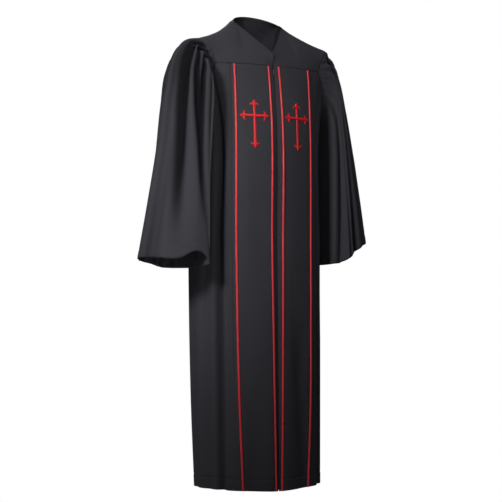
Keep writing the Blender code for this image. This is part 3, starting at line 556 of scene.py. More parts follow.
def side_columns(z):
    """Columns of a side front: from the piping to the yoke's corner, then along the armhole."""
    z = z[:, :1]
    start = angle_at(measure("outer_piping", z) + HALF_GAP, z)
    end = SIDE_SEAM - HALF_GAP_ANGLE
    share = np.linspace(0, 1, SIDE_COLUMNS) ** SIDE_CROWDING
    near = start + (FRONT_CORNER - start) * share
    far_share = np.linspace(0, 1, ARMHOLE_COLUMNS + 1)[1:] ** ARMHOLE_CROWDING
    far = FRONT_CORNER + (end - FRONT_CORNER) * far_share + 0 * z
    return np.concatenate([near, far], -1)


def pressed_pleat(turn, z):
    """A step pressed in beside the outer piping: the strip next to the piping stands proud, and
    past it the cloth lies lower, from the yoke down to below the knee."""
    across = measure("half_width", z) * power(np.sin(np.radians(np.abs(turn))), 2 / SQUARENESS)
    past = across - measure("outer_piping", z) - PLEAT_FROM_PIPING
    fades = smooth_step((z - PLEAT_ENDS_Z) / PLEAT_FADES_OVER)
    step = PLEAT_STEP * smooth_step(past / PLEAT_STEP_WIDTH)
    groove = PLEAT_GROOVE * bell(past, PLEAT_GROOVE_WIDTH)
    return fades * (step * np.exp(-np.clip(past, 0, 1) / PLEAT_REACH) + groove)


def gathers(place, below):
    """Small gathers under a seam: place is the distance along the seam and below the distance
    from it. Three sines of unrelated pitch, each fading at its own length."""
    total = 0
    for row in BACK_GATHERS:
        fades = np.exp(-below / (GATHER_LENGTH * row.reach))
        wave = 0.5 + 0.5 * np.sin(2 * np.pi * place / row.pitch + row.phase)
        total = total + row.height * fades * wave
    return GATHER_DEPTH * total * (1 - np.exp(-below / GATHERS_BEGIN))


def side_front(word, side):
    """The cloth from the outer piping round to the side seam."""
    turn, z = fit_rows(on_side(side, side_columns))
    name = f"side_front_{word}"
    shells[name], cuts[name] = body_panel(name, turn, z, pressed_pleat(turn, z))


def back_columns():
    """Columns of the back: along one armhole, across the flutes, along the other armhole."""
    far_share = np.linspace(1, 0, ARMHOLE_COLUMNS + 1) ** ARMHOLE_CROWDING
    out = BACK_CORNER + (SIDE_SEAM + HALF_GAP_ANGLE - BACK_CORNER) * far_share
    middle = np.linspace(BACK_CORNER, 360 - BACK_CORNER, BACK_COLUMNS + 1)[1:-1]
    return np.concatenate([out, middle, 360 - out[::-1]])


def back():
    """The back in one piece, with its gathers between the yoke's corners."""
    turn, z = fit_rows(lambda z: back_columns() + 0 * z[:, :1])
    smooth = body(turn, z)
    across = run_lengths(smooth, 1)
    along_seam = across[-1:] + 0 * across
    below = to_edges(smooth)[3]
    from_corner = np.minimum(turn - BACK_CORNER, 360 - BACK_CORNER - turn)
    inside = smooth_step(from_corner / GATHERS_CLEAR_OF_CORNER)
    shells["back"], cuts["back"] = body_panel("back", turn, z, inside * gathers(along_seam, below))


for word, side in SIDES.items():
    side_front(word, side)
back()
print("Back cloth:", len(shells["back"].data.polygons), "faces")

# %% [markdown]
# ## The yoke
#
# The yoke fits closely over the shoulders, so it is a surface stretched between two edges: the
# chest or back seam below, and the neck and shoulder seam above. Each line across it is a curve
# that leaves the lower edge in the body's own direction and arrives at the upper edge at a given
# lean. A cubic curve with both directions given, a Hermite curve, does this exactly.

# %% Neck, shoulder line and the two yokes
NECK_SIDE = np.array([0.0805, 0.000, 0.000])
NECK_BACK = np.array([0.0, 0.058, 0.035])
NECK_V = np.array([0.0, -0.0835, -0.0986])
SHOULDER_TIP = np.array([0.210, -0.036, -0.063])
NECK_SHARE = 0.44
YOKE_SLIT = 0.0016
YOKE_ROWS = 42
YOKE_NECK_COLUMNS = 40
YOKE_SHOULDER_COLUMNS = 42
YOKE_COLUMN_PULL = 0.6
YOKE_ROW_PULL = 0.7
SHOULDER_HOLLOW = 0.006
NECKLINE_BOW = 0.004
FRONT_NECK_LEAN = 48.0
BACK_NECK_LEANS = (105, 228)
SHOULDER_LEAN = 14
LEAN_MORE_AT_NECK = 34
LEAN_FADES_OVER = 0.30
NECK_TURNED_IN = 0.009
NECK_STITCH_DEPTH = 0.0006
NECK_STITCH_WIDTH = 0.0012


def shoulder_line(share):
    """The shoulder seam from the side of the neck to the shoulder tip, a little hollow between."""
    share = np.asarray(share)[..., None]
    straight = NECK_SIDE + (SHOULDER_TIP - NECK_SIDE) * share
    return straight + np.array([0, 0, -SHOULDER_HOLLOW]) * 4 * share * (1 - share)


def front_top(u):
    """Upper edge of a front yoke: up the V neck, then out along the shoulder."""
    neck = np.clip(u / NECK_SHARE, 0, 1)[..., None]
    bow = np.array([0, -NECKLINE_BOW, 0.0]) * 4 * neck * (1 - neck)
    neckline = NECK_V + (NECK_SIDE - NECK_V) * neck + bow
    shoulder = shoulder_line(np.clip((u - NECK_SHARE) / (1 - NECK_SHARE), 0, 1))
    return np.where((u < NECK_SHARE)[..., None], neckline, shoulder)


def back_top(u):
    """Upper edge of the back yoke: a quarter oval round the neck, then out along the shoulder."""
    a = np.abs(u)
    turn = (1 - np.clip(a / NECK_SHARE, 0, 1)) * np.pi / 2
    rise = NECK_SIDE[2] + (NECK_BACK[2] - NECK_SIDE[2]) * np.sin(turn)
    neck = np.stack([NECK_SIDE[0] * np.cos(turn), NECK_BACK[1] * np.sin(turn), rise], -1)
    shoulder = shoulder_line(np.clip((a - NECK_SHARE) / (1 - NECK_SHARE), 0, 1))
    edge = np.where((a < NECK_SHARE)[..., None], neck, shoulder)
    edge[..., 0] *= np.where(u < 0, -1, 1)
    return edge


def sweep(start, start_way, end, end_way, v):
    """The cubic curve that leaves start along start_way and reaches end along end_way."""
    reach = np.linalg.norm(end - start, axis=-1, keepdims=True)
    v = np.asarray(v)[..., None]
    rise = v * v * (3 - 2 * v)
    ways = v * (1 - v) ** 2 * reach * start_way + v * v * (v - 1) * reach * end_way
    return start * (1 - rise) + end * rise + ways


def leaning(angle_deg):
    """A direction in the plane across the shoulder: 90 is up, 0 is straight back."""
    a = np.radians(angle_deg)
    return np.stack([0 * a, np.cos(a), np.sin(a)], -1)


def shoulder_lean(u):
    """How steeply the cloth crosses the shoulder seam, front to back."""
    near_neck = 1 - np.clip((u - NECK_SHARE) / LEAN_FADES_OVER, 0, 1)
    return SHOULDER_LEAN + LEAN_MORE_AT_NECK * near_neck**2


def lower_edge(turn, z):
    """The body's point and upward direction where a yoke begins."""
    return body(turn, z), unit(body(turn, z + 1e-4) - body(turn, z - 1e-4))


def front_yoke_place(u, v):
    """The left front yoke: u from the centre to the armhole, v from the chest seam up."""
    start, start_way = lower_edge(FRONT_CORNER * u, YOKE_FRONT_Z + HALF_GAP + 0 * u)
    lean = np.where(u < NECK_SHARE, FRONT_NECK_LEAN, shoulder_lean(u))
    return sweep(start, start_way, front_top(u), leaning(lean), v)


def back_yoke_place(u, v):
    """The back yoke: u from -1 at the right armhole to 1 at the left, v from the back seam up."""
    start, start_way = lower_edge(180 - (180 - BACK_CORNER) * u, YOKE_BACK_Z + HALF_GAP + 0 * u)
    a = np.clip(np.abs(u) / NECK_SHARE, 0, 1)
    over = 180 + shoulder_lean(np.abs(u))
    middle, side = BACK_NECK_LEANS
    lean = np.where(np.abs(u) < NECK_SHARE, middle + (side - middle) * a**1.5, over)
    return sweep(start, start_way, back_top(u), leaning(lean), v)


def yoke_shares():
    """Shares across a half yoke, with one exactly at the side of the neck."""
    inner = NECK_SHARE * to_the_edges(YOKE_NECK_COLUMNS, YOKE_COLUMN_PULL)
    shoulder = to_the_edges(YOKE_SHOULDER_COLUMNS, YOKE_COLUMN_PULL)[1:]
    outer = NECK_SHARE + (1 - NECK_SHARE) * shoulder
    return np.concatenate([inner, outer])


def sheet_normals(points):
    """Unit normals of a grid of points, from its neighbours along and across."""
    return unit(np.cross(np.gradient(points, axis=1), np.gradient(points, axis=0)))


def shoulder_normals(u):
    """Upward normals along the left shoulder seam, shared by the pieces on both sides of it."""
    share = (u - NECK_SHARE) / (1 - NECK_SHARE)
    out = shoulder_line(share + 0.01) - shoulder_line(share - 0.01)
    return unit(np.cross(out, leaning(shoulder_lean(u))))


def yoke_shell(smooth, facing, neck, left_sewn):
    """The smooth grid of a yoke, its outer and inner grid and its seam mark. The seams are rolled,
    and inside the neckline a faint line of stitches holds the turned edge. neck is 1 on the
    neckline's columns and 0 on the shoulder's. left_sewn says if the first column is a seam."""
    left, right, low, high = to_edges(smooth)
    seams = rolled(low) + rolled(high) * (1 - neck) + rolled(right) + rolled(left) * left_sewn
    stitched = neck * NECK_STITCH_DEPTH * bell(high - NECK_TURNED_IN, NECK_STITCH_WIDTH)
    sunk = seams + stitched
    outer = smooth - sunk[..., None] * facing
    inner = outer - (CLOTH + neck * doubled(high, NECK_TURNED_IN))[..., None] * facing
    return smooth, outer, inner, np.clip(sunk / SEAM_ROLL, 0, 1)


def front_yoke():
    """The grids and the seam mark of the left front yoke, columns from the centre out."""
    u, v = np.meshgrid(yoke_shares(), to_the_edges(YOKE_ROWS, YOKE_ROW_PULL))
    smooth = front_yoke_place(u, v)
    facing = sheet_normals(smooth)
    smooth[:, 0, 0] += YOKE_SLIT / 2
    facing[:, 0, 0] = 0
    shoulder = u[0] >= NECK_SHARE
    smooth[-1, shoulder] -= leaning(shoulder_lean(u[0, shoulder])) * HALF_GAP
    facing[-1, shoulder] = shoulder_normals(u[0, shoulder])
    return yoke_shell(smooth, unit(facing), (u < NECK_SHARE) * 1.0, left_sewn=False)


def back_yoke():
    """The grids and the seam mark of the back yoke, columns from the wearer's left to right."""
    half = yoke_shares()
    across = np.concatenate([half[::-1], -half[1:]])
    u, v = np.meshgrid(across, to_the_edges(YOKE_ROWS, YOKE_ROW_PULL))
    smooth = back_yoke_place(u, v)
    facing = sheet_normals(smooth)
    facing[u == 0, 0] = 0
    shoulder = np.abs(u[0]) >= NECK_SHARE
    lean = leaning(shoulder_lean(np.abs(u[0, shoulder])))
    smooth[-1, shoulder] += lean * HALF_GAP
    facing[-1, shoulder] = shoulder_normals(np.abs(u[0, shoulder]))
    facing[-1, shoulder, 0] *= np.sign(u[0, shoulder])
    return yoke_shell(smooth, unit(facing), (np.abs(u) < NECK_SHARE) * 1.0, left_sewn=True)


def mirrored(grid):
    """The same grid on the wearer's right, its columns turned round to keep it facing out."""
    return grid[:, ::-1] * np.array([-1, 1, 1])


left_yoke = front_yoke()
over_back = back_yoke()
right_yoke = [mirrored(grid) for grid in left_yoke[:3]] + [left_yoke[3][:, ::-1]]
YOKES = {"yoke_front_left": left_yoke, "yoke_front_right": right_yoke, "yoke_back": over_back}
for name, (smooth, outer, inner, near_seam) in YOKES.items():
    shells[name] = cloth_piece(name, outer, inner, near_seam)
    cuts[name] = smooth
    print(name, len(shells[name].data.polygons), "faces")

# %% [markdown]
# ## The sleeves
#
# A bell sleeve starts at the closed line of the armhole and widens to its cuff. Here it is a
# bundle of lengthwise threads: each leaves the armhole sideways and runs through oval rings given
# in a table. Flutes are troughs that follow the threads down, and a ridge is left between two of
# them. The finer gathers at the head and the drag lines lower down are added on the same grid.

# %% Rings, flutes and creases of the two sleeves
Ring = namedtuple("Ring", "along top_x top_y top_z under_x under_y under_z front back middle tuck")
RINGS = {
    "left": [
        Ring(0.09, 0.236, -0.026, -0.084, 0.2235, 0.020, -0.296, -0.063, 0.106, 0.52, 0.000),
        Ring(0.17, 0.258, -0.010, -0.126, 0.2245, 0.016, -0.320, -0.078, 0.118, 0.46, 0.000),
        Ring(0.32, 0.288, 0.004, -0.220, 0.2250, 0.012, -0.378, -0.088, 0.124, 0.38, 0.000),
        Ring(0.54, 0.318, 0.008, -0.370, 0.2250, 0.010, -0.474, -0.099, 0.130, 0.32, 0.000),
        Ring(0.78, 0.345, 0.010, -0.524, 0.2255, 0.010, -0.596, -0.111, 0.140, 0.28, 0.000),
        Ring(1.00, 0.364, 0.010, -0.648, 0.2260, 0.012, -0.722, -0.120, 0.152, 0.26, 0.000),
    ],
    "right": [
        Ring(0.09, 0.256, -0.018, -0.069, 0.2235, 0.020, -0.296, -0.106, 0.130, 0.52, 0.028),
        Ring(0.17, 0.280, -0.002, -0.112, 0.2245, 0.016, -0.320, -0.113, 0.134, 0.46, 0.038),
        Ring(0.32, 0.300, 0.008, -0.216, 0.2250, 0.012, -0.378, -0.116, 0.132, 0.38, 0.035),
        Ring(0.54, 0.319, 0.012, -0.374, 0.2250, 0.010, -0.484, -0.118, 0.134, 0.32, 0.028),
        Ring(0.78, 0.349, 0.014, -0.548, 0.2255, 0.010, -0.616, -0.119, 0.144, 0.28, 0.030),
        Ring(1.00, 0.379, 0.014, -0.708, 0.2260, 0.012, -0.737, -0.121, 0.160, 0.26, 0.034),
    ],
}
ROOMY = 0.12

Hitch = namedtuple("Hitch", "turn spread lift")
HITCHES = {
    "left": [Hitch(70.0, 35.0, 0.014), Hitch(285.0, 30.0, 0.010)],
    "right": [Hitch(76.0, 14.0, 0.032), Hitch(285.0, 30.0, 0.004)],
}
HITCH_FROM = 0.55

Flute = namedtuple("Flute", "head cuff ahead behind at_seam at_head at_elbow at_cuff")
FLUTES = {
    "left": [
        Flute(14.0, 8.0, 9.0, 11.0, 0.001, 0.011, 0.008, 0.006),
        Flute(38.0, 34.0, 6.0, 7.0, 0.002, 0.009, 0.006, 0.008),
        Flute(58.0, 62.0, 5.0, 6.0, 0.003, 0.012, 0.010, 0.004),
        Flute(78.0, 82.0, 5.0, 6.0, 0.003, 0.010, 0.009, 0.012),
        Flute(97.0, 99.0, 5.0, 6.0, 0.003, 0.007, 0.004, 0.010),
        Flute(116.0, 142.0, 6.0, 6.0, 0.001, 0.010, 0.014, 0.010),
        Flute(205.0, 205.0, 12.0, 12.0, 0.000, 0.003, 0.009, 0.014),
        Flute(240.0, 236.0, 9.0, 9.0, 0.000, 0.008, 0.010, 0.010),
        Flute(262.0, 262.0, 7.0, 7.0, 0.001, 0.009, 0.006, 0.007),
        Flute(281.0, 283.0, 7.0, 7.0, 0.001, 0.011, 0.012, 0.013),
        Flute(301.0, 303.0, 7.0, 8.0, 0.001, 0.009, 0.006, 0.005),
        Flute(321.0, 322.0, 8.0, 9.0, 0.001, 0.011, 0.011, 0.012),
        Flute(343.0, 344.0, 8.0, 9.0, 0.001, 0.009, 0.005, 0.004),
    ],
    "right": [
        Flute(2.0, 8.0, 10.0, 11.0, 0.001, 0.006, 0.004, 0.006),
        Flute(23.0, 52.0, 12.0, 10.5, 0.010, 0.032, 0.019, 0.000),
        Flute(43.0, 97.0, 4.5, 6.0, 0.008, 0.021, 0.011, 0.002),
        Flute(62.0, 84.0, 4.5, 4.5, 0.008, 0.022, 0.008, 0.000),
        Flute(80.0, 98.0, 4.0, 6.0, 0.006, 0.012, 0.002, 0.000),
        Flute(118.0, 150.0, 8.0, 9.0, 0.000, 0.002, 0.005, 0.008),
        Flute(205.0, 205.0, 12.0, 12.0, 0.000, 0.003, 0.009, 0.014),
        Flute(238.0, 238.0, 9.0, 9.0, 0.000, 0.008, 0.010, 0.010),
        Flute(261.0, 262.0, 7.0, 7.0, 0.001, 0.009, 0.006, 0.006),
        Flute(280.0, 282.0, 7.0, 7.0, 0.001, 0.011, 0.012, 0.014),
        Flute(300.0, 303.0, 7.0, 8.0, 0.001, 0.009, 0.006, 0.005),
        Flute(320.0, 323.0, 8.0, 9.0, 0.001, 0.009, 0.008, 0.009),
        Flute(341.0, 342.0, 9.0, 9.0, 0.001, 0.006, 0.003, 0.003),
    ],
}
FLUTE_STATIONS = [0.0, 0.14, 0.50, 1.0]

# Finer folds of the sleeves: degrees round the sleeve and share of its length at both ends
Drag = namedtuple("Drag", "turn_a along_a turn_b along_b half_width depth")
DRAGS = {
    "left": [
        Drag(0.0, 0.00, 124.0, 0.20, 8.0, 0.0095),
        Drag(50.0, 0.05, 49.0, 0.55, 3.5, 0.0030),
        Drag(70.0, 0.04, 72.0, 0.75, 3.0, 0.0032),
        Drag(26.0, 0.30, 20.0, 1.25, 6.0, 0.0040),
        Drag(88.0, 0.03, 92.0, 0.40, 2.6, 0.0026),
        Drag(5.0, 0.06, 352.0, 0.60, 4.0, 0.0024),
        Drag(292.0, 0.04, 294.0, 0.60, 3.5, 0.0030),
        Drag(331.0, 0.05, 333.0, 0.50, 3.5, 0.0028),
        Drag(222.0, 0.30, 218.0, 1.20, 5.0, 0.0035),
        Drag(250.0, 0.10, 249.0, 0.80, 3.5, 0.0030),
    ],
    "right": [
        Drag(12.0, 0.02, 20.0, 0.30, 4.0, 0.0030),
        Drag(40.0, 0.02, 50.0, 0.13, 3.0, 0.0060),
        Drag(72.0, 0.02, 80.0, 0.36, 2.4, 0.0026),
        Drag(20.0, 0.45, 28.0, 1.25, 7.0, 0.0040),
        Drag(290.0, 0.04, 293.0, 0.62, 3.5, 0.0030),
        Drag(330.0, 0.05, 331.0, 0.55, 3.5, 0.0028),
        Drag(222.0, 0.30, 218.0, 1.20, 5.0, 0.0035),
        Drag(249.0, 0.10, 250.0, 0.75, 3.5, 0.0030),
    ],
}
SLEEVE_ROWS = 150
SLEEVE_CROWDING = 1.35
LEAVES_BY = 0.036
LEAVES_MORE_ON_TOP = 0.012
LEANS_BACK = 0.25
LEANS_DOWN = 0.15
FOLDS_BEGIN = 0.013
CUFF_TURNED_UP = 0.028
CUFF_GROOVE_WIDTH = 0.002
SLEEVE_GATHER = 0.0010
SLEEVE_GATHER_LENGTH = 0.032

# Waves of the gathers at the sleeve head, by how many there are round the ring
HeadWave = namedtuple("HeadWave", "count phase height reach")
HEAD_GATHERS = [
    HeadWave(29, 0.3, 1.0, 1.0),
    HeadWave(37, 1.9, 0.7, 0.7),
    HeadWave(23, 4.4, 0.9, 1.5),
]


def armhole(side):
    """The armhole's closed edge as points, from the shoulder tip down the front, under the arm and
    up the back, read from the edges of the pieces round it, with the direction that leads out."""
    yoke = left_yoke[0] if side > 0 else right_yoke[0]
    front = cuts["side_front_left" if side > 0 else "side_front_right"]
    rear, rear_yoke = cuts["back"], over_back[0]
    n = ARMHOLE_COLUMNS
    if side > 0:
        edges = [
            (yoke, np.s_[::-1, -1], np.s_[::-1, -2]),
            (front, np.s_[-1, -n:], np.s_[-2, -n:]),
            (rear, np.s_[-1, 1:n], np.s_[-2, 1:n]),
            (rear_yoke, np.s_[:-1, 0], np.s_[:-1, 1]),
        ]
    else:
        edges = [
            (yoke, np.s_[::-1, 0], np.s_[::-1, 1]),
            (front, np.s_[-1, n - 1 :: -1], np.s_[-2, n - 1 :: -1]),
            (rear, np.s_[-1, -2 : -n - 1 : -1], np.s_[-2, -2 : -n - 1 : -1]),
            (rear_yoke, np.s_[:-1, -1], np.s_[:-1, -2]),
        ]
    edge = np.concatenate([grid[at] for grid, at, _ in edges])
    within = np.concatenate([grid[at] for grid, _, at in edges])
    along = unit(np.roll(edge, -1, 0) - np.roll(edge, 1, 0))
    away = edge - within
    away -= (away * along).sum(-1, keepdims=True) * along
    return edge + 2 * HALF_GAP * unit(away)


def seam_turns(ring):
    """Angles round the sleeve for the armhole's points: 0 at the shoulder tip, half a turn under
    the arm, and in between in step with the length of the seam."""
    step = np.linalg.norm(np.roll(ring, -1, 0) - ring, axis=1)
    run = np.concatenate([[0], np.cumsum(step)])
    under = YOKE_ROWS + ARMHOLE_COLUMNS - 1
    front = run[: under + 1] / run[under]
    rear = 1 + (run[under + 1 : -1] - run[under]) / (run[-1] - run[under])
    return np.pi * np.concatenate([front, rear])


def ring_point(row, turn):
    """A ring of the left sleeve: an oval about a middle that sits near the body side, so that it
    is flat there and round outside. Its front edge is drawn in over the chest by the tuck."""
    top = np.array([row.top_x, row.top_y, row.top_z])
    under = np.array([row.under_x, row.under_y, row.under_z])
    middle = under + (top - under) * row.middle
    c, s = np.cos(turn)[..., None], np.sin(turn)[..., None]
    up = np.where(c > 0, c * (top - middle), -c * (under - middle))
    reach = np.where(s > 0, row.front - middle[1], row.back - middle[1])
    drawn_in = row.tuck * np.clip(s, 0, 1) ** 6
    return middle + up + np.abs(s) * reach * np.array([0, 1, 0]) - drawn_in * np.array([1, 0, 0])


def threads(seam_ring, leaving, turns, along, rings, side):
    """The smooth sleeve: a cubic curve for each thread, through the armhole and every ring, with
    its direction kept from ring to ring."""
    flip = np.array([side, 1, 1])
    stations = np.array([0.0] + [row.along for row in rings])
    loops = np.array([seam_ring] + [ring_point(row, turns) * flip for row in rings])
    slope = np.gradient(loops, stations, axis=0)
    slope[0] = leaving / stations[1]
    i = np.clip(np.searchsorted(stations, along, side="right") - 1, 0, len(stations) - 2)
    gap = (stations[i + 1] - stations[i])[:, None, None]
    s = (along - stations[i])[:, None, None] / gap
    rise = s * s * (3 - 2 * s)
    ways = slope[i] * s * (1 - s) ** 2 * gap + slope[i + 1] * s * s * (s - 1) * gap
    return loops[i] * (1 - rise) + loops[i + 1] * rise + ways


def tube_normals(points, side):
    """Outward normals of a tube given as rings of points."""
    around = np.roll(points, -1, 1) - np.roll(points, 1, 1)
    down = np.gradient(points, axis=0)
    return unit(np.cross(around, down)) * side


def room(turns, along, rings):
    """The share of a flute's depth there is room for: less at the narrow front and back edges
    where the sleeve hangs nearly flat."""
    width = [row.top_x - row.under_x for row in rings]
    share = np.clip(np.interp(along, [row.along for row in rings], width) / ROOMY, 0, 1)
    return 1 - (1 - share[:, None]) * np.sin(turns)[None] ** 4


def flute_depth(degrees, along, word):
    """Depth of the flutes, each a trough that follows its line down the sleeve."""
    depth = np.zeros((len(along), len(degrees)))
    for row in FLUTES[word]:
        centre = row.head + from_middle(row.cuff, row.head) * along[:, None]
        deep = eased(along, FLUTE_STATIONS, row[4:])[:, None]
        depth += deep * trough(from_middle(degrees[None], centre), row.ahead, row.behind)
    return depth


def drag_depth(degrees, along, word):
    """Depth of the finer folds, each a bell across its line that fades in and out along it."""
    depth = np.zeros((len(along), len(degrees)))
    for row in DRAGS[word]:
        share = np.clip((along - row.along_a) / (row.along_b - row.along_a), 0, 1)[:, None]
        centre = row.turn_a + from_middle(row.turn_b, row.turn_a) * share
        across = from_middle(degrees[None], centre)
        depth += row.depth * np.sin(np.pi * share) * bell(across, row.half_width)
    return depth


def head_gathers(turns, below):
    """Small gathers round the sleeve head: three waves that close round the ring, strongest over
    the shoulder and gone under the arm, each fading at its own length."""
    over = smooth_step((np.cos(turns) + 0.75) / 0.9)[None]
    total = 0
    for row in HEAD_GATHERS:
        wave = 0.5 + 0.5 * np.sin(row.count * turns + row.phase)[None]
        total = total + row.height * wave * np.exp(-below / (SLEEVE_GATHER_LENGTH * row.reach))
    return SLEEVE_GATHER * over * total * (1 - np.exp(-below / GATHERS_BEGIN))


def sleeve(word, side):
    """One sleeve as a closed shell: smooth threads, then flutes, folds and gathers pressed in
    along the normals, the cuff hitched up, and a double hem at the cuff."""
    ring = armhole(side)
    turns = seam_turns(ring)
    degrees = np.degrees(turns)
    rings = RINGS[word]
    sideways = [side + 0 * turns, -LEANS_BACK * np.sin(turns), -LEANS_DOWN * np.cos(turns)]
    reach = LEAVES_BY + LEAVES_MORE_ON_TOP * np.cos(turns)
    leaving = reach[:, None] * np.stack(sideways, -1)
    along = np.linspace(0, 1, SLEEVE_ROWS) ** SLEEVE_CROWDING
    smooth = threads(ring, leaving, turns, along, rings, side)
    folds = flute_depth(degrees, along, word) + drag_depth(degrees, along, word)
    folds = folds * room(turns, along, rings)
    below = run_lengths(smooth, 0)
    pressed = folds * smooth_step(below / FOLDS_BEGIN) + head_gathers(turns, below)
    shaped = smooth - pressed[..., None] * tube_normals(smooth, side)
    low = np.clip((along[:, None] - HITCH_FROM) / (1 - HITCH_FROM), 0, 1) ** 2
    for row in HITCHES[word]:
        shaped[..., 2] += row.lift * low * bell(from_middle(degrees, row.turn), row.spread)
    facing = tube_normals(shaped, side)
    facing[0] = facing[1]
    from_seam = run_lengths(shaped, 0)
    from_cuff = from_seam[-1:] - from_seam
    sunk = rolled(from_seam) + hem_relief(from_cuff, CUFF_TURNED_UP, CUFF_GROOVE_WIDTH)
    outer = shaped - sunk[..., None] * facing
    inner = outer - (CLOTH + doubled(from_cuff, CUFF_TURNED_UP))[..., None] * facing
    # The seam mark: smoother cloth and painted shade along the armhole seam and the cuff's stitches
    near = np.clip(rolled(from_seam) / SEAM_ROLL + near_hem(from_cuff, CUFF_TURNED_UP), 0, 1)
    if side < 0:
        outer, inner, near, pressed = outer[::-1], inner[::-1], near[::-1], pressed[::-1]
    name = f"sleeve_{word}"
    # pressed also gives the fold mark, which paints shade into the sleeve's folds.
    shells[name] = cloth_piece(name, outer, inner, near, pressed, wrap=True)
    cuts[name] = outer
    print(name, len(shells[name].data.polygons), "faces")


for word, side in SIDES.items():
    sleeve(word, side)

# %% [markdown]
# ## Red piping
#
# Piping is a cord wrapped in a bias strip of satin and caught in the seam. Its section is a half
# round, carried along the seam by the body's formula. The stitches pull it in a little every few
# millimetres, which gives the satin its broken shine.

# %% The four lines of piping
PIPING_WIDTH = 0.0062
PIPING_HEIGHT = 0.0030
LAID_ON_GAP = 0.0004
PIPING_ROWS = 480
PIPING_SIDES = 16
PIPING_BELOW_YOKE = 0.0010
PIPING_ROUND = 1.6
PIPING_PINCH = 0.00010
PINCH_PITCH = 0.0085


def laid_on(turn, z, lift):
    """A point lifted off the body's cloth along its normal."""
    return body(turn, z) + body_normals(turn, z) * lift[..., None]


def piping(word, side, place):
    """A half-round section, x = -w cos(t) / 2 and height h sin(t), carried along a front seam."""
    hem = hem_edge(side * angle_at(measure(f"{place}_piping", HEM_Z), HEM_Z))
    z = hem + rows_up(PIPING_ROWS)[:, None] * (YOKE_FRONT_Z - PIPING_BELOW_YOKE - hem)
    t = np.linspace(0, np.pi, PIPING_SIDES)[None]
    pinch = PIPING_PINCH * np.sin(2 * np.pi * z / PINCH_PITCH)
    across = -np.cos(t) * (PIPING_WIDTH / 2 + pinch)
    lift = LAID_ON_GAP + np.sin(t) * (PIPING_HEIGHT + pinch)
    z = z + 0 * t
    turn = side * angle_at(measure(f"{place}_piping", z) + across, z)
    points = laid_on(turn, z, lift)
    rows, columns = points.shape[:2]
    face, mark = grid_cells(rows, columns, True)
    run = run_lengths(points, 0).mean(1)[:, None]
    round_it = np.linspace(0, PIPING_WIDTH * PIPING_ROUND, columns + 1)[None]
    uvs = np.stack([round_it + 0 * run, run + 0 * round_it], -1).reshape(-1, 2)[mark]
    ends = end_caps(rows, columns)
    end_uv = np.zeros((len(ends), 4, 2))
    quads = np.concatenate([face, ends])
    if side < 0:
        quads, uvs = quads[:, ::-1], uvs[:, ::-1]
    name = f"piping_{word}_{place}"
    all_uvs = np.concatenate([uvs, end_uv]).reshape(-1, 2)
    shells[name] = to_mesh(f"{name}_satin", points.reshape(-1, 3), quads, all_uvs)


for word, side in SIDES.items():
    for place in ("inner", "outer"):
        piping(word, side, place)
print("Piping:", len(shells["piping_left_inner"].data.polygons), "faces on each line")

# %% [markdown]
# ## Embroidered crosses
#
# Machine embroidery lays threads side by side across each stroke, over a little padding, so a
# stroke is crowned and finely ribbed. A cross is two long bars, and at the end of each arm a
# pointed bud between two barbs that curl back. Each stroke is a ribbon round a centre line, with
# its half width given along the way, laid on the cloth with the body's formula.

# %% Satin-stitched strokes
CROSS_HEIGHT = 0.143
CROSS_WIDTH = 0.088
CROSS_BAR = 0.0078
CROSS_THICK = 0.0013
CROSS_TOP_Z = -0.2445
CROSS_BAR_DROP = 0.047
THREAD_PITCH = 0.0006
THREAD_RELIEF = 0.00007
THREAD_SLANT = 0.9
ROWS_PER_THREAD = 3
FEWEST_ROWS = 24
STROKE_COLUMNS = 9
BAR_SHORT_OF_END = 0.0085
BAR_TAPER = 0.25
BAR_TAPER_LENGTH = 0.02

# The strokes at the end of an arm: control points as (sideways, back from the end), then sizes
ArmStroke = namedtuple("ArmStroke", "points length lift")
BARB = ArmStroke([(0.0015, 0.0145), (0.0105, 0.0080), (0.0138, 0.0170)], 0.017, 0.0002)
BUD = ArmStroke([(0, 0.0135), (0, 0.006), (0, -0.0004)], 0.014, 0.0006)
UPRIGHT_LIFT = 0.0
CROSSBAR_LIFT = 0.00045


def bent(points, s):
    """A curve through three control points: the quadratic Bezier at shares s."""
    a, b, c = [np.array(p)[None] for p in points]
    s = s[:, None]
    return a * (1 - s) ** 2 + 2 * b * s * (1 - s) + c * s * s


def stroke(middle_z, side, centre_of, width_of, length, lift):
    """A crowned ribbon: the point at (s, q) is the centre line at s moved q half widths sideways,
    raised by the crown sqrt(1 - q^2) and by the ribs of the threads. Its rim lies on the cloth."""
    rows = max(int(length / THREAD_PITCH) * ROWS_PER_THREAD, FEWEST_ROWS)
    s = np.linspace(0, 1, rows)
    q = np.linspace(-1, 1, STROKE_COLUMNS)[None]
    centre = centre_of(s)
    ahead = unit(np.gradient(centre, axis=0))
    sideways = np.stack([ahead[:, 1], -ahead[:, 0]], -1)
    half = width_of(s)[:, None]
    flat = centre[:, None] + (half * q)[..., None] * sideways[:, None]
    phase = 2 * np.pi * s[:, None] * length / THREAD_PITCH + THREAD_SLANT * q
    ribs = THREAD_RELIEF * np.cos(phase)
    crown = np.sqrt(np.clip(1 - q * q, 0, 1))
    full = np.clip(half / (CROSS_BAR / 2), 0.25, 1) ** 0.5
    high = LAID_ON_GAP + lift + crown * (CROSS_THICK * full + ribs)
    z = middle_z + flat[..., 1]
    across = (measure("inner_piping", z) + measure("outer_piping", z)) / 2 + side * flat[..., 0]
    top = laid_on(side * angle_at(across, z), z, high)
    under = laid_on(side * angle_at(across, z), z, 0 * high + LAID_ON_GAP * 0.5)
    return top, under, s * length


